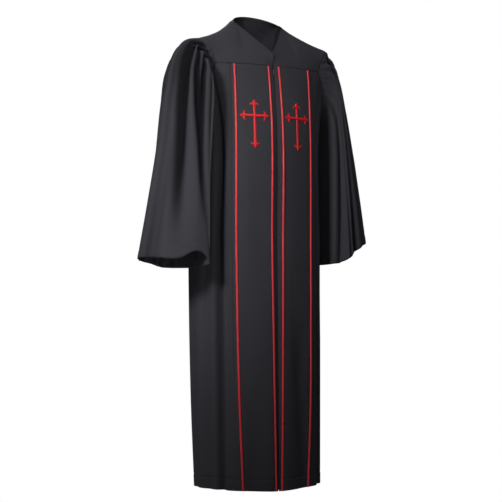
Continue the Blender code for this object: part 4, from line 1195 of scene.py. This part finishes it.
def ribbon_quads(top, under, run):
    """Faces and UVs of a closed ribbon with a flat underside."""
    rows, columns = top.shape[:2]
    count = rows * columns
    face, _ = grid_cells(rows, columns, False)
    quads = np.concatenate([face, face[:, ::-1] + count, edge_strips(rows, columns, False)])
    across, along = np.meshgrid(np.linspace(0, 1, columns) * CROSS_BAR, run)
    flat = np.stack([across, along], -1).reshape(-1, 2)
    return np.concatenate([top.reshape(-1, 3), under.reshape(-1, 3)]), quads, flat[quads % count]


def turned(points, quarter):
    """Flat points turned by quarter turns to the left."""
    c, s = [(1, 0), (0, 1), (-1, 0), (0, -1)][quarter]
    return points @ np.array([[c, s], [-s, c]])


def bar_width(s):
    """Half width of a bar: full in the middle and a quarter less at both ends."""
    taper = np.exp(-s / BAR_TAPER_LENGTH) + np.exp(-(1 - s) / BAR_TAPER_LENGTH)
    return CROSS_BAR / 2 * (1 - BAR_TAPER * taper)


def barb_width(s):
    """Half width of a barb: widest at its root and running to a point."""
    return 0.0026 * (1 - s**2.2) ** 0.8 + 0.00025


def bud_width(s):
    """Half width of a bud: blunt at its root, widest before its middle, and pointed."""
    return 0.0046 * np.sin(np.pi * np.clip(0.18 + 0.82 * s, 0, 1)) ** 0.9 + 0.0002


def curve(points, quarter):
    """A centre line led by three points drawn for the upper arm, turned to its own arm."""
    return lambda s: turned(bent(points, s), quarter)


def on_arm(stroke_kind, reach, hand=1):
    """A stroke's control points at the end of an arm, reach metres from the crossing."""
    return [(hand * sideways, reach - back) for sideways, back in stroke_kind.points]


def cross_strokes():
    """Centre line, half width, length and lift of every stroke of the cross, about its crossing."""
    reaches = [CROSS_BAR_DROP, CROSS_WIDTH / 2, CROSS_HEIGHT - CROSS_BAR_DROP, CROSS_WIDTH / 2]
    strokes = []
    for head, foot, quarter, lift in ((0, 2, 0, UPRIGHT_LIFT), (3, 1, 1, CROSSBAR_LIFT)):
        low = np.array([0, -reaches[foot] + BAR_SHORT_OF_END])
        high = np.array([0, reaches[head] - BAR_SHORT_OF_END])
        line = curve((low, (low + high) / 2, high), quarter)
        strokes.append((line, bar_width, high[1] - low[1], lift))
    for quarter, reach in enumerate(reaches):
        for hand in (-1, 1):
            line = curve(on_arm(BARB, reach, hand), quarter)
            strokes.append((line, barb_width, BARB.length, BARB.lift))
        line = curve(on_arm(BUD, reach), quarter)
        strokes.append((line, bud_width, BUD.length, BUD.lift))
    return strokes


def cross(word, side):
    """The strokes of one cross, joined into one piece."""
    points, quads, uvs, count = [], [], [], 0
    for centre_of, width_of, length, lift in cross_strokes():
        crossing_z = CROSS_TOP_Z - CROSS_BAR_DROP
        top, under, run = stroke(crossing_z, side, centre_of, width_of, length, lift)
        piece_points, piece_quads, piece_uvs = ribbon_quads(top, under, run)
        points.append(piece_points)
        quads.append(piece_quads + count)
        uvs.append(piece_uvs.reshape(-1, 2))
        count += len(piece_points)
    name = f"cross_{word}"
    parts = [np.concatenate(part) for part in (points, quads, uvs)]
    shells[name] = to_mesh(f"{name}_thread", *parts)
    print(name, len(shells[name].data.polygons), "faces in", len(quads), "strokes")


for word, side in SIDES.items():
    cross(word, side)

# %% [markdown]
# ## The concealed zip
#
# The zip lies behind the slit. Only a dark line of its chain shows, and at the top the small
# slider. The tape is a thin band just inside the plackets, the chain a ribbed half round on it.

# %% Tape, chain and slider
ZIP_TAPE_WIDTH = 0.026
ZIP_TAPE = 0.0010
ZIP_TAPE_COLUMNS = 13
ZIP_FROM_PIPING = 0.0005
ZIP_HEAD_Z = YOKE_FRONT_Z - 0.006
ZIP_FOOT_Z = HEM_Z + 0.004
ZIP_DEPTH = 0.0020
CHAIN_PITCH = 0.0022
CHAIN_HALF_WIDTH = 0.0022
CHAIN_HEIGHT = 0.0011
CHAIN_FOOT = 0.0001
CHAIN_COLUMNS = 7
SLIDER_Z = YOKE_FRONT_Z - 0.016
CHAIN_HEAD_Z = SLIDER_Z - 0.004


def zip_tape():
    """The band that the chain stands on, just inside the plackets."""
    z = ZIP_FOOT_Z + rows_up()[:, None] * (ZIP_HEAD_Z - ZIP_FOOT_Z)
    half = np.minimum(ZIP_TAPE_WIDTH / 2, measure("inner_piping", z) - ZIP_FROM_PIPING)
    turn = np.linspace(-1, 1, ZIP_TAPE_COLUMNS)[None] * angle_at(half, z)
    z = z + 0 * turn
    facing = body_normals(turn, z)
    outer = body(turn, z) - ZIP_DEPTH * facing
    return cloth_piece("zip_tape", outer, outer - ZIP_TAPE * facing, 0 * z)


def zip_chain():
    """A half round standing on the tape whose height waves once for each tooth."""
    count = int((ZIP_HEAD_Z - ZIP_FOOT_Z) / CHAIN_PITCH * 4)
    z = np.linspace(ZIP_FOOT_Z, CHAIN_HEAD_Z, count)[:, None]
    q = np.linspace(-1, 1, CHAIN_COLUMNS)[None]
    tooth = 0.65 + 0.35 * np.cos(2 * np.pi * (z / CHAIN_PITCH + 0.25 * np.sign(q)))
    across = q * CHAIN_HALF_WIDTH
    turn = np.sign(across) * angle_at(np.abs(across), z)
    z = z + 0 * turn
    high = CHAIN_HEIGHT * np.sqrt(1 - 0.9 * q * q) * tooth
    facing = body_normals(turn, z)
    base = body(turn, z) - ZIP_DEPTH * facing
    top = base + high[..., None] * facing
    points, quads, uvs = ribbon_quads(top, base + CHAIN_FOOT * facing, z[:, 0])
    return to_mesh("zip_chain", points, quads, uvs.reshape(-1, 2))


def rounded_block(name, centre, half, roundness, rows=20, columns=32):
    """A block with round edges: a sphere's point raised to a power on each axis, so that it swells
    towards the corners. Poles are closed by small caps of four-cornered faces."""
    lat = np.linspace(-1, 1, rows)[:, None] * (np.pi / 2 - 0.02)
    lon = np.linspace(0, 2 * np.pi, columns, endpoint=False)[None]
    shape = [np.cos(lat) * np.cos(lon), np.cos(lat) * np.sin(lon), np.sin(lat) + 0 * lon]
    swollen = [power(axis, roundness) * reach for axis, reach in zip(shape, half)]
    points = np.stack(swollen, -1) + np.array(centre)
    face, _ = grid_cells(rows, columns, True)
    return to_mesh(name, points.reshape(-1, 3), np.concatenate([face, end_caps(rows, columns)]))


tape, chain = zip_tape(), zip_chain()
slit_front = body(np.array(0.0), np.array(SLIDER_Z))[1]
slider = rounded_block(
    "zip_slider_body",
    centre=(0, slit_front - 0.0004, SLIDER_Z),
    half=(ZIP_SLIT / 2 - 0.0002, 0.0016, 0.0048),
    roundness=0.35,
)
pull = rounded_block(
    "zip_slider_pull",
    centre=(0, slit_front - 0.0024, SLIDER_Z - 0.0062),
    half=(0.0016, 0.0005, 0.0068),
    roundness=0.45,
)
print("Zip chain:", len(chain.data.polygons), "faces")

# %% [markdown]
# ## Stitches
#
# A seam is more than a groove: close up, each stitch shows. One small spindle of thread is
# repeated along the sewn lines. All of its copies are worked out as one array of points, because
# hundreds of separate objects would be slow, and one mesh is what a seam is.

# %% Rows of stitches along the sewn lines
STITCH = 0.0026
STITCH_GAP = 0.0010
STITCH_RADIUS = 0.00026
STITCH_LIFT = 0.00005
FACES_PER_STITCH = 14
STITCHES_ABOVE_YOKE_SEAM = 0.0035
STITCHES_INSIDE_PLEAT = 0.002
PLEAT_STITCHED_DOWN_TO = -1.0
PLEAT_LINE_POINTS = 400
PLEAT_LINE_END_GAP = 0.004


def along_line(points, normals, pitch):
    """Middles, directions and normals at even distances along a line of points."""
    run = np.concatenate([[0], np.cumsum(np.linalg.norm(np.diff(points, axis=0), axis=1))])
    at = np.arange(pitch, run[-1] - pitch, pitch)
    middle = np.stack([np.interp(at, run, points[:, k]) for k in range(3)], -1)
    normal = unit(np.stack([np.interp(at, run, normals[:, k]) for k in range(3)], -1))
    ahead = unit(np.gradient(middle, axis=0))
    return middle, ahead, normal


def stitches(lines):
    """One mesh of spindles: four stations along each stitch and four corners round it."""
    places = [along_line(points, normals, STITCH + STITCH_GAP) for points, normals in lines]
    middle, ahead, normal = [np.concatenate(parts) for parts in zip(*places)]
    sideways = unit(np.cross(ahead, normal))
    station = np.array([-0.5, -0.28, 0.28, 0.5]) * STITCH
    radius = np.array([0.35, 1.0, 1.0, 0.35]) * STITCH_RADIUS
    corner = np.radians([45, 135, 225, 315])
    cosine, sine = np.cos(corner)[None, :, None], np.sin(corner)[None, :, None]
    spoke = sideways[:, None] * cosine + normal[:, None] * sine
    points = (
        middle[:, None, None]
        + ahead[:, None, None] * station[None, :, None, None]
        + spoke[:, None] * radius[None, :, None, None]
    )
    face, _ = grid_cells(4, 4, True)
    caps = np.array([[3, 2, 1, 0], [12, 13, 14, 15]])
    one = np.concatenate([face[:, ::-1], caps[:, ::-1]])
    quads = (one[None] + 16 * np.arange(len(middle))[:, None, None]).reshape(-1, 4)
    return to_mesh("stitches", points.reshape(-1, 3), quads)


def lifted(line, facing):
    """A line of points raised a little off the cloth, with its normals."""
    return line + STITCH_LIFT * facing, facing


def stitch_lines():
    """The sewn lines that show: beside the yoke seams, round the neck and down both pleats."""
    lines = []
    necks = (
        (left_yoke, slice(0, YOKE_NECK_COLUMNS - 2)),
        (right_yoke, slice(2 - YOKE_NECK_COLUMNS, None)),
        (over_back, slice(YOKE_SHOULDER_COLUMNS + 1, -YOKE_SHOULDER_COLUMNS - 1)),
    )
    for (smooth, outer, _, _), neck in necks:
        facing = sheet_normals(outer)
        low, high = to_edges(smooth)[2:]
        middle = len(low[0]) // 2
        beside = np.argmin(np.abs(low[:, middle] - STITCHES_ABOVE_YOKE_SEAM))
        lines.append(lifted(outer[beside], facing[beside]))
        inside = np.argmin(np.abs(high[:, middle] - NECK_TURNED_IN))
        lines.append(lifted(outer[inside, neck], facing[inside, neck]))
    low_z, high_z = HEM_Z + PLEAT_LINE_END_GAP, YOKE_FRONT_Z - PLEAT_LINE_END_GAP
    z = np.linspace(low_z, high_z, PLEAT_LINE_POINTS)
    upper = z > PLEAT_STITCHED_DOWN_TO
    from_centre = measure("outer_piping", z) + PLEAT_FROM_PIPING - STITCHES_INSIDE_PLEAT
    for side in SIDES.values():
        turn = side * angle_at(from_centre, z)
        lines.append(lifted(body(turn, z)[upper], body_normals(turn, z)[upper]))
    return lines


sewing = stitches(stitch_lines())
print("Stitches:", len(sewing.data.polygons) // FACES_PER_STITCH)

# %% [markdown]
# ## Writing materials as expressions
#
# A shader is a network of small nodes. Written out by hand each sum takes three lines, so one
# small class stands for a number on its way through the network, and ordinary arithmetic on it
# adds the Math nodes. Everything else goes through one method that makes a node of any kind.


# %% A small language for materials
class Flow:
    """A number in a material. Arithmetic on it adds Math nodes."""

    def __init__(self, finish, socket):
        self.finish, self.socket = finish, socket

    def math(self, operation, first, second=0.0):
        return self.finish.node("ShaderNodeMath", {"operation": operation}, {0: first, 1: second})

    def __add__(self, other):
        return self.math("ADD", self, other)

    def __sub__(self, other):
        return self.math("SUBTRACT", self, other)

    def __rsub__(self, other):
        return self.math("SUBTRACT", other, self)

    def __mul__(self, other):
        return self.math("MULTIPLY", self, other)

    __radd__ = __add__
    __rmul__ = __mul__

    def wave(self, pitch):
        """A sine that repeats once in each pitch of the number."""
        return self.math("SINE", self * (2 * np.pi / pitch))


class Finish:
    """A material with one Principled shader and the nodes that feed it."""

    def __init__(self, name, **sockets):
        self.material = bpy.data.materials.new(name)
        self.material.use_nodes = True
        self.tree = self.material.node_tree
        self.shader = self.tree.nodes["Principled BSDF"]
        for socket, value in sockets.items():
            self.feed(self.shader, socket.replace("_", " ").title().replace("Ior", "IOR"), value)

    def feed(self, node, socket, value):
        """Links a Flow to a socket, or sets the socket's own value."""
        if isinstance(value, Flow):
            self.tree.links.new(value.socket, node.inputs[socket])
        else:
            node.inputs[socket].default_value = value

    def node(self, kind, settings=None, inputs=None, out=0):
        """A node of any kind: its settings first, then its sockets."""
        node = self.tree.nodes.new(kind)
        for name, value in (settings or {}).items():
            setattr(node, name, value)
        for socket, value in (inputs or {}).items():
            self.feed(node, socket, value)
        return Flow(self, node.outputs[out])

    def pattern_place(self):
        """The two distances of the piece's own UV map, in metres."""
        place = self.node("ShaderNodeUVMap", {"uv_map": "cut"})
        return [self.node("ShaderNodeSeparateXYZ", {}, {0: place}, out=k) for k in (0, 1)]

    def cloud(self, scale, detail=3.0, stretch=(1, 1, 1)):
        """Soft noise on Object coordinates, between 0 and 1."""
        place = self.node("ShaderNodeTexCoord", {}, {}, out="Object")
        place = self.node("ShaderNodeMapping", {}, {"Vector": place, "Scale": stretch})
        noise = {"Vector": place, "Scale": scale, "Detail": detail}
        return self.node("ShaderNodeTexNoise", {}, noise)

    def mark(self, name):
        """A number that goes with the points of the mesh."""
        return self.node("ShaderNodeAttribute", {"attribute_name": name}, {}, out="Fac")

    def blend(self, share, first, second):
        """A colour between two colours."""
        colours = {0: share, 6: first, 7: second}
        return self.node("ShaderNodeMix", {"data_type": "RGBA"}, colours, out=2)

    def colour(self, value):
        self.feed(self.shader, "Base Color", value)

    def roughness(self, value):
        self.feed(self.shader, "Roughness", value)

    def relief(self, height, distance, strength=1.0):
        """Fine relief: a bump of the height, distance metres deep."""
        bump = {"Height": height, "Distance": distance, "Strength": strength}
        self.feed(self.shader, "Normal", self.node("ShaderNodeBump", {}, bump))


def dye(red, green, blue):
    """A colour as Blender's sockets take it, in linear light."""
    return (red, green, blue, 1.0)


# %% [markdown]
# ## Black robe cloth
#
# The cloth is a matt black twill with a cool cast. It isn't one flat colour: the dye takes a little
# unevenly, pressed seams are smoother and have painted shade along their sunk line, and the fine
# diagonal of the twill breaks up the light. The weave is drawn from the UV map, which is in metres,
# so a thread is the same size on every piece. The lamps alone leave the folds lighter than in the
# photograph, so the fold mark paints shade into the colour towards the bottom of each trough.

# %% The black twill
TWILL_PITCH = 0.0011
YARN_PITCH = 0.00055
# How near black the painted shade takes the colour at the bottom of a fold
PAINTED_FOLD_SHADE_AMOUNT = 0.92


def black_twill():
    finish = Finish(
        "black_twill",
        roughness=0.72,
        sheen_weight=0.025,
        sheen_roughness=0.45,
        sheen_tint=dye(0.80, 0.78, 1.0),
        specular_ior_level=0.06,
    )
    across, along = finish.pattern_place()
    diagonal = (across + along).wave(TWILL_PITCH)
    yarn = across.wave(YARN_PITCH) * along.wave(YARN_PITCH)
    dyed = finish.cloud(7.0)
    slub = finish.cloud(60.0, 2.0, (1.0, 1.0, 0.12))
    seam, fold = finish.mark("near_seam"), finish.mark("painted_fold_shade")
    tone = finish.blend(dyed, dye(0.0440, 0.0428, 0.0515), dye(0.0560, 0.0545, 0.0640))
    lit = finish.blend(diagonal * 0.10 + 0.10, tone, dye(0.085, 0.083, 0.096))
    # Painted shade along the sunk seams and hem stitching, from the seam mark.
    seam_shade_painted = finish.blend(seam * 0.30, lit, dye(0.018, 0.018, 0.021))
    # Painted shade in the folds: the colour goes nearly black towards the bottom of each trough.
    finish.colour(finish.blend(fold * PAINTED_FOLD_SHADE_AMOUNT, seam_shade_painted, dye(0.002, 0.002, 0.003)))
    finish.roughness(0.78 - seam * 0.12 - slub * 0.08)
    finish.relief(diagonal * 0.5 + yarn * 0.35 + slub * 0.6, 0.00016, 0.6)
    return finish.material


twill = black_twill()
print("Twill lines every", TWILL_PITCH * 1000, "mm")

# %% [markdown]
# ## Satin, thread, tape and metal
#
# Satin is the same yarn floated on the face, so it shines across the light. Embroidery thread is
# glossier still, and each strand takes a slightly different red.

# %% The trims' finishes
SATIN_PITCH = 0.0008
TWIST_PITCH = 0.0016
TAPE_RIB_PITCH = 0.0009


def red_satin():
    finish = Finish(
        "red_satin_finish",
        roughness=0.30,
        sheen_weight=0.18,
        sheen_roughness=0.3,
        sheen_tint=dye(1.0, 0.60, 0.66),
    )
    across, along = finish.pattern_place()
    dyed = finish.cloud(30.0)
    finish.colour(finish.blend(dyed, dye(0.70, 0.030, 0.042), dye(0.94, 0.055, 0.070)))
    finish.roughness(0.34 - dyed * 0.10)
    finish.relief((across + along).wave(SATIN_PITCH), 0.00008, 0.5)
    return finish.material


def red_thread():
    finish = Finish(
        "red_thread_finish",
        roughness=0.32,
        sheen_weight=0.02,
        sheen_roughness=0.3,
        sheen_tint=dye(1.0, 0.45, 0.45),
    )
    across, along = finish.pattern_place()
    noise = {"W": along * (1 / THREAD_PITCH), "Scale": 1.0, "Detail": 0.0}
    strand = finish.node("ShaderNodeTexNoise", {"noise_dimensions": "1D"}, noise)
    finish.colour(finish.blend(strand, dye(0.62, 0.004, 0.008), dye(0.97, 0.012, 0.018)))
    finish.roughness(0.24 + strand * 0.14)
    finish.relief(across.wave(TWIST_PITCH), 0.00003, 0.3)
    return finish.material


def zip_black():
    finish = Finish("zip_black_finish", roughness=0.5, specular_ior_level=0.4)
    along = finish.pattern_place()[1]
    dyed = finish.cloud(80.0)
    finish.colour(finish.blend(dyed, dye(0.010, 0.010, 0.011), dye(0.018, 0.018, 0.020)))
    finish.relief(along.wave(TAPE_RIB_PITCH), 0.0001, 0.5)
    return finish.material


def dull_metal():
    finish = Finish("dull_metal_finish", metallic=1.0, roughness=0.34)
    rubbed = finish.cloud(700.0, 2.0, (1.0, 1.0, 0.1))
    finish.colour(finish.blend(rubbed, dye(0.12, 0.12, 0.13), dye(0.20, 0.20, 0.21)))
    finish.roughness(0.28 + rubbed * 0.18)
    return finish.material


def sewing_thread():
    finish = Finish("sewing_thread_finish", roughness=0.5, specular_ior_level=0.4)
    dyed = finish.cloud(400.0)
    finish.colour(finish.blend(dyed, dye(0.022, 0.022, 0.026), dye(0.040, 0.040, 0.046)))
    return finish.material


satin = red_satin()
embroidery = red_thread()
tape_black = zip_black()
metal = dull_metal()
thread_black = sewing_thread()
print("Finishes:", ", ".join(material.name for material in bpy.data.materials))

# %% [markdown]
# ## Dressing the imported robe
#
# Each new piece takes the place of its plain solid, rides with the robe's one body and is given its
# finish. For a piece of cloth, what shows of its cut is also printed: the widest and longest that
# its grid measures along the cloth, and the area of its outer side.

# %% Finishes, places and measures of the cuts
def cloth_area(grid, wrap=False):
    """The area of a grid of cloth: half the cross product of each cell's two diagonals."""
    grid = np.concatenate([grid, grid[:, :1]], 1) if wrap else grid
    first = grid[1:, 1:] - grid[:-1, :-1]
    second = grid[1:, :-1] - grid[:-1, 1:]
    return np.linalg.norm(np.cross(first, second), axis=-1).sum() / 2


def dress(piece, material, slot, *nodes):
    """Gives a piece its material and its body, and names the solid that it replaces. slot is not
    used.
    """
    piece.data.materials.append(material)
    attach(piece, "root")
    if nodes:
        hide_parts(*nodes)


def declare_sheet(piece, grid, wrap=False):
    """Prints what shows of a cut: the longest row and column of its grid, and its area."""
    across = np.concatenate([grid, grid[:, :1]], 1) if wrap else grid
    width, length = run_lengths(across, 1)[:, -1].max(), run_lengths(grid, 0)[-1].max()
    area = min(cloth_area(grid, wrap), width * length)
    print(f"{piece.name}: {width:.3f} x {length:.3f} m, {area:.3f} square metres")


for name, piece in shells.items():
    if name.startswith("piping"):
        dress(piece, satin, "red_satin", name)
    elif name.startswith("cross"):
        dress(piece, embroidery, "red_thread", name)
    else:
        dress(piece, twill, "black_cloth", name)
        declare_sheet(piece, cuts[name], wrap=name.startswith("sleeve"))
for piece in (tape, chain):
    dress(piece, tape_black, "zip_black", "zip")
for piece in (slider, pull):
    dress(piece, metal, "grey_metal", "zip_slider")
dress(sewing, thread_black, "black_cloth")

# %% [markdown]
# ## Floor, light and camera
#
# The robe is shown as in a catalogue, white all round. The key lamp stands high on the left and
# draws the folds, and a weaker one in front fills them. A faint lamp near the floor lights the
# skirt, and a lamp behind lights the back. The floor and the surroundings look white to the camera
# but light the robe only a little, so that the folds keep their shadows.

# %% White studio
FLOOR_Z = -1.56
FLOOR_SIDES = 96
FLOOR_RADII = np.array([0.02, 2.0, 6.0, 20.0])
SURROUND = 0.10

Lamp = namedtuple("Lamp", "name place aim width height watts spread")
LAMPS = [
    Lamp("key_lamp", (-2.35, -1.2, 1.0), (-0.66, 0, -0.20), 0.6, 0.6, 4.6, 40),
    Lamp("front_lamp", (-0.25, -2.6, 0.9), (-0.12, -0.1, -0.20), 0.7, 0.5, 0.82, 36),
    Lamp("low_lamp", (-1.3, -1.9, -1.45), (-0.34, 0.0, -0.72), 0.4, 0.4, 0.22, 26),
    Lamp("back_lamp", (1.2, 2.6, 1.4), (0, 0, -0.5), 1.4, 1.4, 12, 120),
]


def white_floor():
    """A wide disc that looks white to the camera and grey to the robe."""
    turn = np.linspace(0, 2 * np.pi, FLOOR_SIDES, endpoint=False)
    ring = np.stack([np.cos(turn), np.sin(turn), 0 * turn], -1)
    points = ring[None] * FLOOR_RADII[:, None, None] + np.array([0, 0, FLOOR_Z])
    face, _ = grid_cells(len(FLOOR_RADII), FLOOR_SIDES, True)
    floor = to_mesh("floor", points.reshape(-1, 3), face[:, ::-1])
    finish = Finish("floor_white", base_color=dye(0.40, 0.40, 0.40), roughness=0.9)
    seen = finish.node("ShaderNodeLightPath", {}, {}, out="Is Camera Ray")
    glow = finish.node("ShaderNodeEmission", {}, {"Color": dye(1, 1, 1), "Strength": 1.0})
    grey = Flow(finish, finish.shader.outputs[0])
    shown = finish.node("ShaderNodeMixShader", {}, {0: seen, 1: grey, 2: glow})
    finish.tree.links.new(shown.socket, finish.tree.nodes["Material Output"].inputs["Surface"])
    floor.data.materials.append(finish.material)


def surroundings():
    """An even glow all round, full only to the camera."""
    world = bpy.data.worlds.new("studio")
    world.use_nodes = True
    bpy.context.scene.world = world
    nodes, links = world.node_tree.nodes, world.node_tree.links
    path = nodes.new("ShaderNodeLightPath")
    level = nodes.new("ShaderNodeMapRange")
    level.inputs["To Min"].default_value = SURROUND
    level.inputs["To Max"].default_value = 1.0
    links.new(path.outputs["Is Camera Ray"], level.inputs["Value"])
    links.new(level.outputs[0], nodes["Background"].inputs["Strength"])
    nodes["Background"].inputs["Color"].default_value = dye(1, 1, 1)


def soft_lamp(row):
    """A rectangle of light. Its spread keeps it to a cone, so that it falls off towards the hem."""
    lamp = bpy.data.lights.new(row.name, "AREA")
    lamp.shape, lamp.size, lamp.size_y = "RECTANGLE", row.width, row.height
    lamp.energy, lamp.spread = row.watts, np.radians(row.spread)
    holder = bpy.data.objects.new(row.name, lamp)
    bpy.context.scene.collection.objects.link(holder)
    holder.location = row.place
    ahead = Vector(row.aim) - Vector(row.place)
    holder.rotation_euler = ahead.to_track_quat("-Z", "Y").to_euler()


white_floor()
surroundings()
for lamp_row in LAMPS:
    soft_lamp(lamp_row)

# %% [markdown]
# The camera stands 30 degrees round to the wearer's right, level with the thighs, and is aimed so
# that the robe fills the frame as in the photograph. Its lens follows from the frame's width at
# the robe: 502 pixels of 3 mm at 4.2 m.

# %% Camera
CAMERA_TURN = -30.0
CAMERA_DISTANCE = 4.2
CAMERA_Z = -0.86
PIXEL = 0.003
FRAME_PIXELS = 502
AIM_LEFT_PIXELS = 7.5
AIM_UP_PIXELS = 59.0
SENSOR = 36.0

camera = bpy.data.cameras.new("camera")
camera.sensor_width = SENSOR
camera.lens = SENSOR * CAMERA_DISTANCE / (FRAME_PIXELS * PIXEL)
viewer = bpy.data.objects.new("camera", camera)
bpy.context.scene.collection.objects.link(viewer)
turn = np.radians(CAMERA_TURN)
viewer.location = (CAMERA_DISTANCE * np.sin(turn), -CAMERA_DISTANCE * np.cos(turn), CAMERA_Z)
tilt = np.arctan(AIM_UP_PIXELS * PIXEL / CAMERA_DISTANCE)
pan = np.arctan(AIM_LEFT_PIXELS * PIXEL / CAMERA_DISTANCE)
viewer.rotation_euler = Euler((np.pi / 2 + tilt, 0, turn + pan))
bpy.context.scene.camera = viewer
bpy.context.scene.view_settings.view_transform = "Standard"
